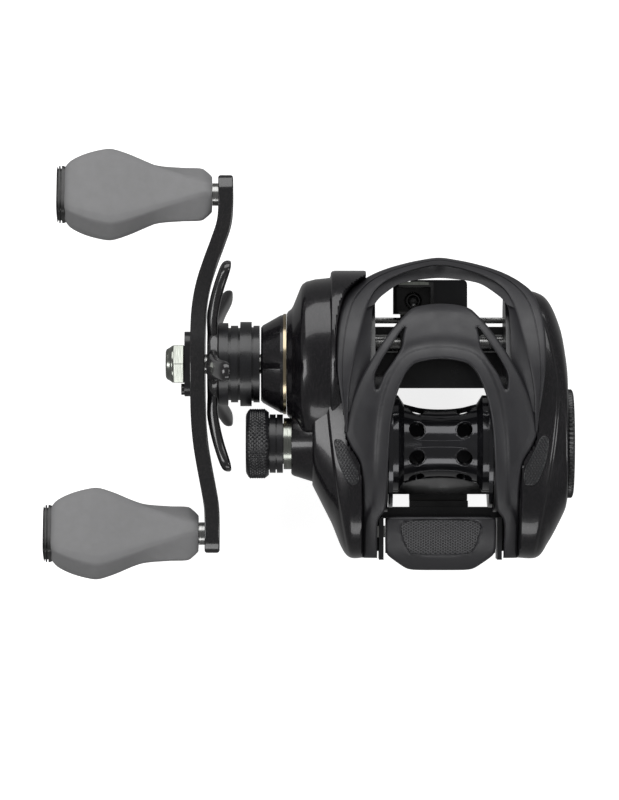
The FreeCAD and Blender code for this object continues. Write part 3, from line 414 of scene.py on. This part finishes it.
def make_rim():
    """Front rim: a rounded band with a fine parting groove, swept round the opening."""
    count = 220
    outer = spline(both_sides(RIM_OUTER), count)
    inner = spline(both_sides(RIM_INNER), count)
    foot = -1.0
    section = [  # (share of the way from the outer to the inner edge, height in rim depths)
        (0.0, foot), (0.0, -0.45), (0.025, -0.2), (0.07, -0.08), (0.15, -0.02), (0.3, 0.0), (0.33, -0.01),
        (0.345, -0.09), (0.37, -0.09), (0.385, -0.01), (0.42, 0.0), (0.7, -0.02), (0.86, -0.07),
        (0.95, -0.16), (1.0, -0.34), (1.0, foot),
    ]
    skirt_depth, skirt_front, skirt_run = 2.0, 24, 6
    rings = []
    for start, end in zip(outer, inner):
        ring = []
        for across, drop in section:
            x, y = start + (end - start) * across
            skirt = skirt_depth * smooth_step((skirt_front - y) / skirt_run) if drop == foot else 0.0
            ring.append((x, y, rim_top(y) + drop * rim_depth(y) - skirt))
        rings.append(ring)
    return skin(rings)


def make_lip():
    """Inner wall of the nose and sides, from under the rim's inner edge down and inwards."""
    count = 160
    edge = spline(both_sides(RIM_INNER[:-1]), count)
    low = spline(both_sides(LIP_INNER), count)
    rings = []
    for (x0, y0), (x1, y1) in zip(edge, low):
        top = rim_top(y0) - 0.45 * rim_depth(y0)
        bottom = rim_top(y0) - 2.6 - 0.9 * rim_depth(y0) * (y0 < 22)
        middle = ((x0 + x1) / 2, (y0 + y1) / 2, (top + bottom) / 2 - 0.3)
        rings.append([
            (x0, y0, top), middle, (x1, y1, bottom), (x1, y1, bottom - 0.8),
            (middle[0], middle[1], middle[2] - 0.9), (x0, y0, top - 1.0),
        ])
    return skin(rings)


def distance_to(places, line, closed):
    """Least distance from each place to a polyline."""
    starts = np.array(line, dtype=float)
    ends = np.roll(starts, -1, axis=0)
    if not closed:
        starts, ends = starts[:-1], ends[:-1]
    least = np.full(len(places), 1e9)
    for a, b in zip(starts, ends):
        run = b - a
        share = np.clip(((places - a) @ run) / max(run @ run, 1e-12), 0, 1)
        least = np.minimum(least, np.linalg.norm(places - (a + share[:, None] * run), axis=1))
    return least


def inside(places, line):
    """Which places lie inside a closed polyline."""
    odd = np.zeros(len(places), dtype=bool)
    xs, ys = places[:, 0], places[:, 1]
    for (xa, ya), (xb, yb) in zip(line, np.roll(line, -1, axis=0)):
        if ya == yb:
            continue
        crosses = (ya > ys) != (yb > ys)
        odd ^= crosses & (xs < (xb - xa) * (ys - ya) / (yb - ya) + xa)
    return odd


def shell(outline, holes, top, bottom, rounding, step):
    """A sculpted plate over an outline in plan: top(places) and bottom(places) give its two faces.

    The top edge is rounded to the radius rounding, and step is the distance between inner places.
    """
    loops = [np.array(outline, dtype=float)] + [np.array(hole, dtype=float) for hole in holes]
    low, high = loops[0].min(axis=0), loops[0].max(axis=0)
    rows = []
    for row, y in enumerate(np.arange(low[1], high[1], step * 0.866)):
        shift = step / 2 if row % 2 else 0
        rows += [(x, y) for x in np.arange(low[0] + shift, high[0], step)]
    grid = np.array(rows)
    depth = np.min([distance_to(grid, loop, True) for loop in loops], axis=0)
    kept = inside(grid, loops[0]) & (depth > rounding * 1.15)
    for loop in loops[1:]:
        kept &= ~inside(grid, loop)
    extra = [grid[kept]]
    for share in (0.06, 0.2, 0.45, 0.75, 1.0):  # of the rounded edge, closer together where it is steep
        reach = rounding * share
        for loop in loops:
            ahead = np.roll(loop, -1, axis=0) - np.roll(loop, 1, axis=0)
            ahead /= np.linalg.norm(ahead, axis=1)[:, None]
            for side in (1, -1):
                ring = loop + side * reach * np.stack([-ahead[:, 1], ahead[:, 0]], axis=1)
                far = np.min([distance_to(ring, other, True) for other in loops], axis=0)
                good = inside(ring, loops[0]) & (far > reach * 0.97)
                for other in loops[1:]:
                    good &= ~inside(ring, other)
                extra.append(ring[good])
    places = np.concatenate(loops + extra)
    edges, start = [], 0
    for loop in loops:
        edges += [(start + i, start + (i + 1) % len(loop)) for i in range(len(loop))]
        start += len(loop)
    verts, _, faces, *_ = delaunay_2d_cdt([Vector(p) for p in places], edges, [], 1, 1e-5)
    flat = np.array([tuple(v) for v in verts])
    middles = np.array([flat[list(f)].mean(axis=0) for f in faces])
    within = inside(middles, loops[0])
    for loop in loops[1:]:
        within &= ~inside(middles, loop)
    faces = [tuple(f) for f, good in zip(faces, within) if good]
    depth = np.min([distance_to(flat, loop, True) for loop in loops], axis=0)
    short = rounding - np.minimum(depth, rounding)
    rolled = rounding - np.sqrt(np.maximum(rounding**2 - short**2, 0))
    upper = top(flat) - rolled
    lower = np.minimum(bottom(flat), upper - 0.05)
    count = len(flat)
    points = [(x, y, z) for (x, y), z in zip(flat, upper)] + [(x, y, z) for (x, y), z in zip(flat, lower)]
    polygons = list(faces) + [tuple(i + count for i in reversed(f)) for f in faces]
    used = {}
    for face in faces:
        for a, b in zip(face, face[1:] + face[:1]):
            used[(a, b)] = True
    for a, b in used:
        if (b, a) not in used:
            polygons.append((b, a, a + count, b + count))
    return points, polygons


def make_saddle():
    """Saddle over the levelwind: a crowned panel with two slots, a band round the arch, and two legs."""
    arch = both_sides(ARCH_INNER)
    arch_line = spline(arch, 170)
    outer_line = spline(both_sides(SADDLE_OUTER), 210)
    outline = np.concatenate([outer_line, arch_line[::-1]])
    slots = [spline([(side * x, y) for x, y in SLOT], 60, closed=True) for side in (1, -1)]

    band_wide, band_high, panel_drop = 3.4, 0.42, 0.40
    valley_at, valley_wide, valley_deep = 4.2, 1.6, 0.35
    chamfer_wide, chamfer_slope = 2.0, 0.16

    def top(places):
        to_arch = distance_to(places, arch_line, False)
        band = band_high * smooth_step((band_wide - to_arch) / 0.35)
        valley = valley_deep * np.exp(-((to_arch - valley_at) / valley_wide) ** 2)
        chamfer = chamfer_slope * np.maximum(0, chamfer_wide - distance_to(places, outer_line, False))
        return crowned(places) + band - panel_drop - valley - chamfer

    def crowned(places):
        x, y = places.T
        return saddle_top(y) - SADDLE_CROWN * x**2

    return shell(outline, slots, top, lambda places: crowned(places) - SADDLE_THICK, 0.7, 0.5)


def make_hood():
    parts = join_parts(make_rim(), make_lip(), make_saddle())
    piece("hood_body", *parts, "hood_grey", "frame", ["front_hood"], 40)


# ------------------------------------------------------------------ side covers

def half_width(outline):
    """Half the width of a right-hand outline against Y."""
    line = spline(outline, 240)
    order = np.argsort(line[:, 1])
    return lambda y: np.interp(y, line[order, 1], line[order, 0], right=0.0)


COVER_GAP = 0.2  # between a cover and the hood over it
GROOVE_SLOPE = 7.0
RIM_BACK = RIM_OUTER[-1][1]
rim_half = half_width(RIM_OUTER)
window_half = half_width(RIM_INNER)
saddle_half = half_width(SADDLE_OUTER)


def hood_half(y):
    return np.where(y > RIM_BACK, rim_half(y), saddle_half(y))


def under_hood(x, y):
    """How high a cover may reach at a place: up to the hood's underside where the hood lies over it.

    Past the hood's outline the limit climbs steeply, so a cover has a fine groove there.
    """
    wide = np.abs(x)
    rim = rim_top(y) - rim_depth(y) - COVER_GAP
    leg = saddle_top(y) - SADDLE_CROWN * wide**2 - SADDLE_THICK - COVER_GAP
    room = np.where(y > RIM_BACK, rim, leg)
    beside_lip = (y > RIM_BACK) & (wide < window_half(y) - 0.4)
    room = np.where(beside_lip, rim - 0.95 * rim_depth(y) - 3.4, room)
    room = np.where(wide < saddle_half(y) - 0.6, np.minimum(room, leg), room)
    return room + GROOVE_SLOPE * np.maximum(0, wide - hood_half(y) + COVER_GAP)


def egg_ring(x, y_rear, y_front, z_low, z_high):
    """A cover's outline at one x, tallest a share of its length (crest) from the rear."""
    count, crest, power = 420, 0.42, 2.6
    turn = np.arange(count) * 2 * math.pi / count
    c, s = np.cos(turn), np.sin(turn)
    y_crest = y_rear + crest * (y_front - y_rear)
    reach = np.where(c > 0, y_front - y_crest, y_crest - y_rear)
    y = y_crest + reach * np.copysign(np.abs(c) ** (2 / power), c)
    z = (z_low + z_high) / 2 + (z_high - z_low) / 2 * np.copysign(np.abs(s) ** (2 / power), s)
    return np.stack([np.full(count, float(x)), y, z], axis=1)


def cover_skin(stations, edge_line, lift):
    """A cover lofted through egg-shaped stations: (x, rear y, front y, low z, high z).

    Its upper face stands lift higher between the hood and edge_line, the X of a crease against Y, and keeps
    under the hood.
    """
    crease = curve_value([(y, x) for x, y in edge_line])
    row_count, crease_wide, blend_high = 84, 0.8, 6
    rings = []
    for row in spline(stations, row_count):
        ring = egg_ring(*row)
        x, y, z = ring.T
        upper = smooth_step((z - (row[3] + row[4]) / 2) / blend_high)
        z = z + lift * upper * smooth_step((crease(y) - np.abs(x)) / crease_wide)
        rings.append(np.stack([x, y, np.minimum(z, under_hood(x, y))], axis=1))
    return skin([[tuple(v) for v in ring] for ring in rings])


def round_case(stations):
    """The case round the gear train: (x, half length, half height) ellipses about the drive axis."""
    steps, power = 160, 0.92
    rings = []
    for x, along, up in stations:
        ring = []
        for i in range(steps):
            angle = 2 * math.pi * i / steps
            c, s = math.cos(angle), math.sin(angle)
            y = DRIVE_Y + along * math.copysign(abs(c) ** power, c)
            z = max(DRIVE_Z + up * math.copysign(abs(s) ** power, s), 0.0)
            ring.append((x, y, min(z, float(under_hood(x, y)))))
        rings.append(ring)
    return skin(rings)


def make_gear_cover():
    tail = cover_skin(
        [(-19.6, -44, 27, 1.4, 40.6), (-24.2, -43.8, 26, 1.8, 40), (-29, -34.3, 22, 3.2, 38),
         (-33.2, -26.0, 18.4, 5.7, 35.8), (-33.8, -24.8, 17.6, 6.6, 35.0)],
        [(23.4, 26), (26.8, 17), (29.6, 9), (30.8, 3), (30.2, -4), (29.4, -12), (27.9, -24), (26, -36),
         (24.4, -44)],
        0.7,
    )
    barrel = [(x, 24.8, 21.6) for x in np.arange(-20.0, -27.9, -0.4)]
    case = round_case([
        (-19.6, 24.6, 21.4), *barrel, (-27.9, 24.8, 21.6), (-28.6, 24.6, 21.4), (-28.9, 24.2, 21.1),
        (-29.0, 23.3, 20.9), (-29.2, 22.9, 20.9), (-33, 22.5, 20.8), (-35.4, 21.9, 20.5),
        (-36.4, 21.2, 20.0), (-36.9, 20.4, 19.3), (-38.9, 15.4, 15.2), (-39.4, 14.6, 14.5),
        (-40.2, 14.0, 13.9), (-40.6, 13.3, 13.3),
    ])
    boss = lathe([
        (-27.4, 3.0), (-27.4, 11.2), (-33.0, 10.2), (-33.2, 9.9), (-33.5, 9.9), (-33.7, 10.1), (-38.8, 8.5),
        (-39.3, 8.1), (-39.4, 7.6), (-39.4, 5.4), (-47.8, 5.4), (-48, 5.2), (-48, 3.0),
    ], SPOOL_Y, SPOOL_Z)
    parts = join_parts(tail, case, boss)
    cover = piece("gear_cover_shell", *parts, "cover_black", "frame", ["gear_cover"], 30)
    make_patch("gear", cover)


def make_palm_cover():
    body = cover_skin(
        [(19.6, -44, 27.5, 1.4, 40.6), (25.7, -43.9, 26.2, 1.8, 39.8), (28.6, -40, 24, 2.8, 39.4),
         (31.8, -34, 16.6, 4.6, 39), (33.1, -30.9, 9.4, 6.7, 38.7), (33.4, -29.4, 7.0, 7.8, 38.0)],
        [(23.6, 26), (27.6, 18), (30.0, 9), (31.0, 0), (30.4, -10), (28.8, -22), (26.8, -34), (25.4, -42)],
        0.55,
    )
    cover = piece("palm_cover_shell", *body, "cover_black", "frame", ["palm_cover"], 30)
    make_patch("palm", cover)


PATCHES = {
    "gear": [(-28.4, -12.4), (-25.8, -12.6), (-24.0, -16.6), (-21.9, -20.4), (-21.5, -24.2), (-24.4, -24.6),
             (-27.2, -18.4)],
    "palm": [(26.2, -11.4), (28.4, -12.0), (27.5, -18.6), (25.0, -24.6), (21.6, -24.6), (21.6, -20.8),
             (23.9, -16.4)],
}


def make_patch(name, cover):
    """A dark patch of fine pips set in a cover beside a leg of the hood."""
    mesh = cover.data
    ground = BVHTree.FromPolygons([v.co for v in mesh.vertices], [p.vertices for p in mesh.polygons])

    def height(places):
        drop = [ground.ray_cast(Vector((x, y, 60)) * MM, Vector((0, 0, -1)))[0] for x, y in places]
        return np.array([hit.z / MM for hit in drop])

    edge = spline(rounded(PATCHES[name], 2, 0.2), 80, closed=True)

    def top(places):
        depth = distance_to(places, edge, True)
        return height(places) + 0.12 + 0.2 * pips(*places.T, 0.8) * smooth_step(depth / 0.4)

    patch = shell(edge, [], top, lambda places: height(places) - 0.5, 0.12, 0.2)
    piece(f"{name}_cover_stipple", *patch, "frame_black", "frame", [], 80)


def pips(x, y, pitch):
    """Round pips in a honeycomb, each 0 at its foot and 1 at its top."""
    rise = pitch * math.sqrt(3)
    best = np.full(len(x), 9.0)
    for shift_x, shift_y in ((0, 0), (pitch / 2, rise / 2)):
        dx = (x - shift_x + pitch / 2) % pitch - pitch / 2
        dy = (y - shift_y + rise / 2) % rise - rise / 2
        best = np.minimum(best, np.hypot(dx, dy))
    return smooth_step(1.15 - best / (pitch * 0.5))


# ------------------------------------------------------------------ handle

ARM_PITCH, ARM_THICK = 90.0, 3.9
TIP_X = {1: -56.8, -1: -60.4}  # of the arm's front and rear ends
# Against the share of the way from the drive axis to a knob: how far the arm has bent, and its half height.
ARM_STEPS = [(0.155, 0), (0.33, 0.05), (0.47, 0.2), (0.6, 0.45), (0.72, 0.72), (0.83, 0.94), (0.92, 1),
             (1.12, 1)]
ARM_HEIGHTS = [(0, 9.5), (0.1, 9.1), (0.22, 8.0), (0.36, 6.7), (0.52, 5.7), (0.7, 5.2), (0.85, 5.1),
               (1.0, 5.3), (1.07, 4.6), (1.11, 3.4)]
KNOB_FORM = [  # (x from the arm's end, half width, half width of the flat faces, half thickness)
    (0, 5.4, 1.4, 3.9), (-0.5, 6.1, 1.5, 4.2), (-1.6, 7.3, 1.6, 4.6), (-2.6, 8.1, 1.8, 4.7),
    (-8, 8.2, 3.7, 4.6), (-14.6, 8.6, 6.2, 4.6), (-18, 9.7, 7.7, 5.0), (-22.7, 11.8, 9.6, 5.6),
    (-26.6, 13.0, 10.7, 6.0), (-28.4, 12.8, 10.6, 6.2), (-33.7, 11.2, 9.1, 6.4), (-37.4, 9.2, 7.3, 6.0),
    (-38.7, 7.9, 6.1, 5.3), (-39.2, 6.7, 5.2, 4.5),
]
KNOB_ROLL = math.radians(-23)
CAP_OUTLINE = [(-7.2, -3.4), (-5.4, -5.0), (5.4, -5.0), (7.2, -3.4), (7.2, 3.4), (5.4, 5.0), (-5.4, 5.0),
               (-7.2, 3.4)]
CAP_FORM = [  # (x from the arm's end, share of the outline): two grooves round it
    (-38.9, 0.97), (-39.5, 1.0), (-39.8, 1.0), (-39.9, 0.9), (-40.15, 0.9), (-40.25, 1.0), (-40.55, 1.0),
    (-40.65, 0.9), (-40.85, 0.9), (-40.95, 0.97), (-41.1, 0.94), (-41.2, 0.86),
]


def arm_middle():
    """Middle line of the crank in plan, from the rear tip to the front tip."""
    hub_x = centre_mm("nut_retainer")[0] + 0.8 + ARM_THICK / 2
    line = []
    for side in (-1, 1):
        half = [
            (hub_x + (TIP_X[side] - hub_x) * bend, DRIVE_Y + side * ARM_PITCH / 2 * along)
            for along, bend in ARM_STEPS
        ]
        line += half[::-1] if side < 0 else half
    return line


def make_arm():
    path = spline(arm_middle(), 150)
    path[0], path[-1] = path[0] * 0.5 + path[1] * 0.5, path[-1] * 0.5 + path[-2] * 0.5
    height = curve_value(ARM_HEIGHTS)
    ahead = np.gradient(path, axis=0)
    ahead /= np.linalg.norm(ahead, axis=1)[:, None]
    rings = []
    last = len(path) - 1
    for i, ((x, y), (ax, ay)) in enumerate(zip(path, ahead)):
        along = abs(y - DRIVE_Y) / (ARM_PITCH / 2)
        half = ARM_THICK / 2 * (0.8 if i in (0, last) else 1)
        up = float(height(along)) - (0.5 if i in (0, last) else 0)
        groove = 0.35 * float(smooth_step((along - 0.2) / 0.1) * smooth_step((0.93 - along) / 0.08))
        floor = half - groove
        section = [
            (-half, -up), (half, -up), (half, -up * 0.45), (floor, -up * 0.38), (floor, up * 0.38),
            (half, up * 0.45), (half, up), (-half, up), (-half, up * 0.5), (-floor, up * 0.42),
            (-floor, -up * 0.42), (-half, -up * 0.5),
        ]
        rings.append([(x + u * ay, y - u * ax, DRIVE_Z + v) for u, v in section])
    piece("crank_arm", *skin(rings), "arm_grey", "drive", ["handle_arm"], 30, bevel_mm=0.55)


STAR_FORM = [  # (distance from the axis, x, half width, half thickness) of one arm
    (8, -60.3, 5.0, 1.3), (11, -60.3, 4.6, 1.4), (14, -60.2, 3.9, 1.5), (18, -59.5, 3.1, 1.5),
    (22, -58.5, 2.7, 1.5), (25.5, -57.4, 2.7, 1.5), (27.6, -56.7, 2.5, 1.4), (28.7, -56.3, 1.8, 1.1),
    (29.1, -56.1, 0.9, 0.6),
]
STAR_ARMS, STAR_TURN = 5, 94.4  # how many arms, and where the first points, in degrees from the front


def make_star():
    """Star drag wheel: a hub with five swept arms that bend towards the case."""
    hub = lathe([
        (-61.6, 2.7), (-61.6, 9.4), (-61.4, 10.2), (-60.9, 10.8), (-60.0, 11.0), (-59.0, 11.0),
        (-58.5, 10.6), (-58.5, 2.7),
    ], DRIVE_Y, DRIVE_Z, steps=80)
    parts = [hub]
    for i in range(STAR_ARMS):
        turn = math.radians(STAR_TURN + 360 / STAR_ARMS * i)
        rings = []
        for reach, x, wide, thick in spline(STAR_FORM, 34):
            ring = []
            for j in range(20):
                angle = 2 * math.pi * j / 20
                c, s = math.cos(angle), math.sin(angle)
                off = wide * math.copysign(abs(c) ** 0.75, c)
                along = x + thick * math.copysign(abs(s) ** 0.75, s) + 0.10 * off * off / max(wide, 1)
                ring.append((
                    along,
                    DRIVE_Y + reach * math.cos(turn) - off * math.sin(turn),
                    DRIVE_Z + reach * math.sin(turn) + off * math.cos(turn),
                ))
            rings.append(ring)
        parts.append(skin(rings))
    piece("star_wheel", *join_parts(*parts), "arm_grey", "star", ["star_drag"], 40)


def roll(ring, y, z):
    """A knob's ring, rolled about the knob's own axis at (y, z)."""
    c, s = math.cos(KNOB_ROLL), math.sin(KNOB_ROLL)
    return [(x, y + u * c - v * s, z + u * s + v * c) for x, u, v in ring]


def make_knob(name, side):
    start = box_mm(f"knob_{name}")[1][0]
    y, z = DRIVE_Y + side * ARM_PITCH / 2, DRIVE_Z
    rings = []
    for x, w, flat, d in spline(KNOB_FORM, 84):
        ring = rounded([(w, 0), (flat, d), (-flat, d), (-w, 0), (-flat, -d), (flat, -d)], 3, 0.11)
        rings.append(roll([(start + x, u, v) for u, v in ring], y, z))
    piece(f"grip_{name}", *skin(rings), "knob_rubber", f"knob_{name}", [f"knob_{name}"], 40)
    outline = rounded(CAP_OUTLINE, 3, 0.22)
    rings = [
        roll([(start + x, u * scale, v * scale) for u, v in outline], y, z) for x, scale in CAP_FORM
    ]
    piece(f"grip_{name}_cap", *skin(rings), "black_plastic", f"knob_{name}", [f"knob_{name}_cap"], 30)


# ------------------------------------------------------------------ turned pieces

def make_tension_knob():
    """Spool tension knob: a cup with a dished end and a diamond knurl."""
    knurl = [(x, 9.25, 0.3) for x in np.arange(-50.3, -46.3, 0.16)]
    cup = lathe([
        (-51.4, 0), (-51.4, 4.2), (-51.2, 4.4), (-51.2, 5.0), (-51.4, 5.2), (-51.4, 7.3), (-51.25, 7.9),
        (-50.8, 8.7), *knurl, (-45.9, 8.8), (-45.3, 8.3), (-45.3, 6.9), (-41.8, 6.9), (-41.6, 6.7),
        (-41.6, 5.6), (-48.5, 5.6), (-48.5, 0),
    ], SPOOL_Y, SPOOL_Z, teeth=56, lead=2.6)
    piece("tension_cap", *cup, "frame_black", "tension_knob", ["tension_knob"], 35)


def make_dial():
    """Brake dial with a finely ribbed rim and a grip bar across it."""
    face = box_mm("brake_dial")[1][0] - 0.5
    disc = lathe([
        (28.2, 0), (28.2, 4.5), (face - 1.6, 4.5), (face - 1.6, 14.0), (face - 1.5, 14.3, 0.2),
        (face - 1.3, 14.4, 0.35), (face - 0.5, 14.4, 0.35), (face - 0.2, 14.1, 0.2), (face, 13.5),
        (face, 9.9), (face - 0.1, 9.6), (face - 0.45, 9.2), (face - 0.5, 8.9), (face - 0.5, 0),
    ], SPOOL_Y, SPOOL_Z, teeth=72)
    outline = [(-0.9, -1.6), (0.15, -1.6), (0.5, -1.1), (0.5, 1.1), (0.15, 1.6), (-0.9, 1.6)]
    section = rounded(outline, 1, 0.2)
    rings = []
    for u, scale in [(-8.0, 0.6), (-7.8, 0.85), (-7.2, 1), (7.2, 1), (7.8, 0.85), (8.0, 0.6)]:
        rings.append([
            (face + (v if v < 0 else v * scale), SPOOL_Y + u, SPOOL_Z + w * scale) for v, w in section
        ])
    piece("dial", *join_parts(disc, skin(rings)), "frame_black", "brake_dial", ["brake_dial"], 35)


def make_spool_panels():
    """Eight slightly raised lands on the spool's arbor, each round one pair of its holes."""
    parts = []
    land_count, half_x, half_s, hole_x, hole_rad = 8, 8.9, 2.75, 6.3, 2.25
    land_high, land_root = 0.32, -0.6
    arbor_low, arbor_rise, arbor_half = 8.8, 1.7, 10.4  # its waist, and how far it flares by its ends
    edge = rounded([(-half_x, -half_s), (half_x, -half_s), (half_x, half_s), (-half_x, half_s)], 3, 0.12)
    edge = spline(edge, 150, closed=True)
    round_hole = np.linspace(0, 2 * math.pi, 28, False)
    holes = [
        np.array([(x + hole_rad * math.cos(t), hole_rad * math.sin(t)) for t in round_hole])
        for x in (-hole_x, hole_x)
    ]
    verts, faces = shell(
        edge, holes, lambda p: np.full(len(p), land_high), lambda p: np.full(len(p), land_root), 0.2, 0.7
    )
    for i in range(land_count):
        turn = math.radians(360 / land_count * (i + 0.5))
        bent = []
        for x, s, up in verts:
            base = arbor_low + arbor_rise * min(abs(x) / arbor_half, 1.0) ** 2.2
            angle = turn + s / base
            reach = base + up
            bent.append((x, SPOOL_Y + reach * math.sin(angle), SPOOL_Z - reach * math.cos(angle)))
        parts.append((bent, faces))
    piece("spool_lands", *join_parts(*parts), "spool_black", "spool", [], 30)


def make_nut():
    """Handle nut: a chamfered hexagon with a turned nose."""
    low, high = box_mm("handle_nut")
    inner, nose = high[0], low[0]
    rings = []
    for x, reach in [(inner, 5.3), (inner - 0.25, 5.77), (inner - 2.9, 5.77), (inner - 3.2, 5.3)]:
        rings.append([
            (x, DRIVE_Y + reach * math.cos(t), DRIVE_Z + reach * math.sin(t))
            for t in np.radians(np.arange(6) * 60 + 30)
        ])
    dome = lathe([
        (inner - 2.8, 0), (inner - 2.8, 4.9), (inner - 3.4, 4.9), (inner - 3.5, 4.7), (nose + 0.9, 4.3),
        (nose + 0.3, 4.0), (nose, 3.4), (nose, 1.6), (nose + 0.4, 1.2), (nose + 0.4, 0),
    ], DRIVE_Y, DRIVE_Z)
    nut = join_parts(skin(rings), dome)
    piece("crank_nut", *nut, "silver_metal", "drive", ["handle_nut"], 30, bevel_mm=0.12)


def make_guide_cap():
    """Domed screw cap on the line guide's front, turned round an upright axis."""
    low, high = box_mm("guide_cap")
    x, y, _ = centre_mm("guide_cap")
    base, top = low[2], high[2]
    profile = [(2.3, base), (2.3, base + 0.5), (2.15, base + 0.85), (1.85, base + 1.0), (1.75, base + 0.9),
               (1.55, base + 0.9), (1.5, base + 1.3), (1.2, top - 0.25), (0.75, top - 0.04), (0.5, top),
               (0.42, top - 0.5), (0.0, top - 0.5)]
    rings = []
    for radius, z in [(0.0, base)] + profile:
        rings.append([
            (x + radius * math.cos(t), y + radius * math.sin(t), z)
            for t in np.linspace(0, 2 * math.pi, 48, endpoint=False)
        ])
    piece("guide_dome", *skin(rings, cap=False), "black_steel", "line_guide", ["guide_cap"], 30)


# ------------------------------------------------------------------ thumb bar

THUMB_PLAN = both_sides([
    (0, -33.0), (13.9, -33.0), (14.6, -33.7), (14.6, -41.2), (14.3, -42.6), (13.6, -43.6), (9.6, -46.5),
    (8.2, -47.1), (6.0, -47.3), (0, -47.3),
])[:-1]
PAD_PLAN = [(-11.0, -33.9), (11.0, -33.9), (9.2, -40.8), (7.4, -42.9), (-7.4, -42.9), (-9.2, -40.8)]
THUMB_CROWN = 0.0012  # how it falls towards its sides
thumb_top = curve_value([(-30, 34.6), (-33.2, 33.8), (-38, 32.2), (-42, 29.8), (-45.5, 26.6), (-49, 22.6)])


def make_thumb_bar():
    """The bar, sunk under its pad, with a cheek at each side; and the pad."""
    edge = spline(rounded(THUMB_PLAN, 2, 0.2), 190, closed=True)
    pad_edge = spline(rounded(PAD_PLAN, 2, 0.16), 130, closed=True)

    def top(places):
        to_pad = distance_to(places, pad_edge, True)
        to_pad = np.where(inside(places, pad_edge), -to_pad, to_pad)
        sunk = 0.6 * smooth_step((0.35 - to_pad) / 0.3)
        return thumb_top(places[:, 1]) - THUMB_CROWN * places[:, 0] ** 2 - sunk

    def bottom(places):
        return thumb_top(places[:, 1]) - 2.4

    bar = shell(edge, [], top, bottom, 0.8, 0.6)
    cheeks = []
    for x in (-14.5, 13.2):
        side = [(-33.3, 23.4), (-42.6, 23.4), (-42.8, 25), (-42.6, 27.8), (-38, 31.2), (-33.3, 32.6)]
        side = rounded(side, 2, 0.15)
        cheeks.append(skin([[(at, y, z) for y, z in side] for at in (x, x + 1.3)]))
    piece("thumb_rest", *join_parts(bar, *cheeks), "hood_grey", "thumb_bar", ["thumb_bar"], 35)

    def pad_top(places):
        x, y = places.T
        return thumb_top(y) - THUMB_CROWN * x**2 - 0.3

    pad = shell(pad_edge, [], pad_top, lambda places: thumb_top(places[:, 1]) - 0.9, 0.12, 0.5)
    piece("thumb_grip", *pad, "pad_grey", "thumb_bar", ["thumb_pad"], 80)


# ------------------------------------------------------------------ CAD nodes that keep their shape

BEVELS = {  # node: width of its rounded edges, in millimetres
    "frame": 0.25, "bearing_cone": 0.2, "trim_ring": 0.15, "tension_collar": 0.15, "drive_shaft": 0.1,
    "nut_retainer": 0.25, "retainer_screw": 0.15, "tension_rings": 0.2, "spool": 0.18, "star_collar": 0.2,
    "guide_bar": 0.05, "line_guide": 0.3, "line_guide_eye": 0.1, "worm_shaft": 0.05, "clutch_plate": 0.15,
}


def dress_nodes():
    """Every CAD node gets its slot's finish, and some get rounded edges."""
    slots = {entry["node"]: entry["material_slot"] for entry in frame["record"]["subparts"]}
    for name, obj in nodes.items():
        for held in obj.material_slots:
            held.material = FINISH[slots[name]]
        width = BEVELS.get(name)
        if width:
            bevel = obj.modifiers.new("bevel", "BEVEL")
            bevel.width = width * MM
            bevel.segments = 3 if width > 0.3 else 2
            bevel.limit_method = "ANGLE"
            bevel.angle_limit = math.radians(40)
            bevel.use_clamp_overlap = True


# ------------------------------------------------------------------ stage, lights, camera

def area_light(name, place, size, power):
    """A rectangular light that faces the middle of the reel."""
    light = bpy.data.lights.new(name, "AREA")
    light.shape = "RECTANGLE"
    light.size, light.size_y = size[0] * MM, size[1] * MM
    light.energy = power
    obj = bpy.data.objects.new(name, light)
    bpy.context.collection.objects.link(obj)
    obj.location = Vector(place) * MM
    way = Vector((0, 0, 20)) * MM - obj.location
    obj.rotation_mode = "QUATERNION"
    obj.rotation_quaternion = way.to_track_quat("-Z", "Y")


def make_stage():
    """A white floor just under the reel, a white world and four lights."""
    gap, reach = 1.0, 3000
    floor_z = cad_low.z / MM - gap
    mesh = bpy.data.meshes.new("floor")
    corners = [(-reach, -reach), (reach, -reach), (reach, reach), (-reach, reach)]
    mesh.from_pydata([Vector((x, y, floor_z)) * MM for x, y in corners], [], [(0, 1, 2, 3)])
    floor = bpy.data.objects.new("floor", mesh)
    bpy.context.collection.objects.link(floor)
    material, _, shader = principled("floor_white", (0.6, 0.6, 0.6), 0.9)
    shader.inputs["Emission Color"].default_value = (1, 1, 1, 1)
    shader.inputs["Emission Strength"].default_value = 0.8
    mesh.materials.append(material)
    floor.visible_glossy = floor.visible_diffuse = False

    world = bpy.data.worlds.new("studio")
    bpy.context.scene.world = world
    world.use_nodes = True
    background = world.node_tree.nodes["Background"]
    background.inputs["Color"].default_value = (1, 1, 1, 1)
    background.inputs["Strength"].default_value = 0.24
    area_light("key", (-60, 720, 460), (1400, 760), 9)
    area_light("left", (-560, -40, 420), (160, 500), 1.3)
    area_light("right", (520, -60, 420), (120, 500), 0.8)
    area_light("rear", (0, -560, 340), (600, 200), 1.2)


def make_camera():
    """Straight above the reel, from far enough away to be almost free of perspective."""
    camera = bpy.data.cameras.new("camera")
    camera.sensor_fit = "VERTICAL"
    camera.sensor_height = 36
    view_height, distance, aim = 211.8, 1500.0, (-34.55, -2.25, 24)
    camera.lens = camera.sensor_height * distance / view_height
    obj = bpy.data.objects.new("camera", camera)
    bpy.context.collection.objects.link(obj)
    obj.location = Vector((aim[0], aim[1], aim[2] + distance)) * MM
    bpy.context.scene.camera = obj
    camera.clip_end = 10


bpy.context.scene.view_settings.view_transform = "Standard"
dress_nodes()
make_hood()
make_gear_cover()
make_palm_cover()
make_spool_panels()
make_arm()
make_star()
make_knob("front", 1)
make_knob("rear", -1)
make_tension_knob()
make_dial()
make_nut()
make_guide_cap()
make_thumb_bar()
make_stage()
make_camera()
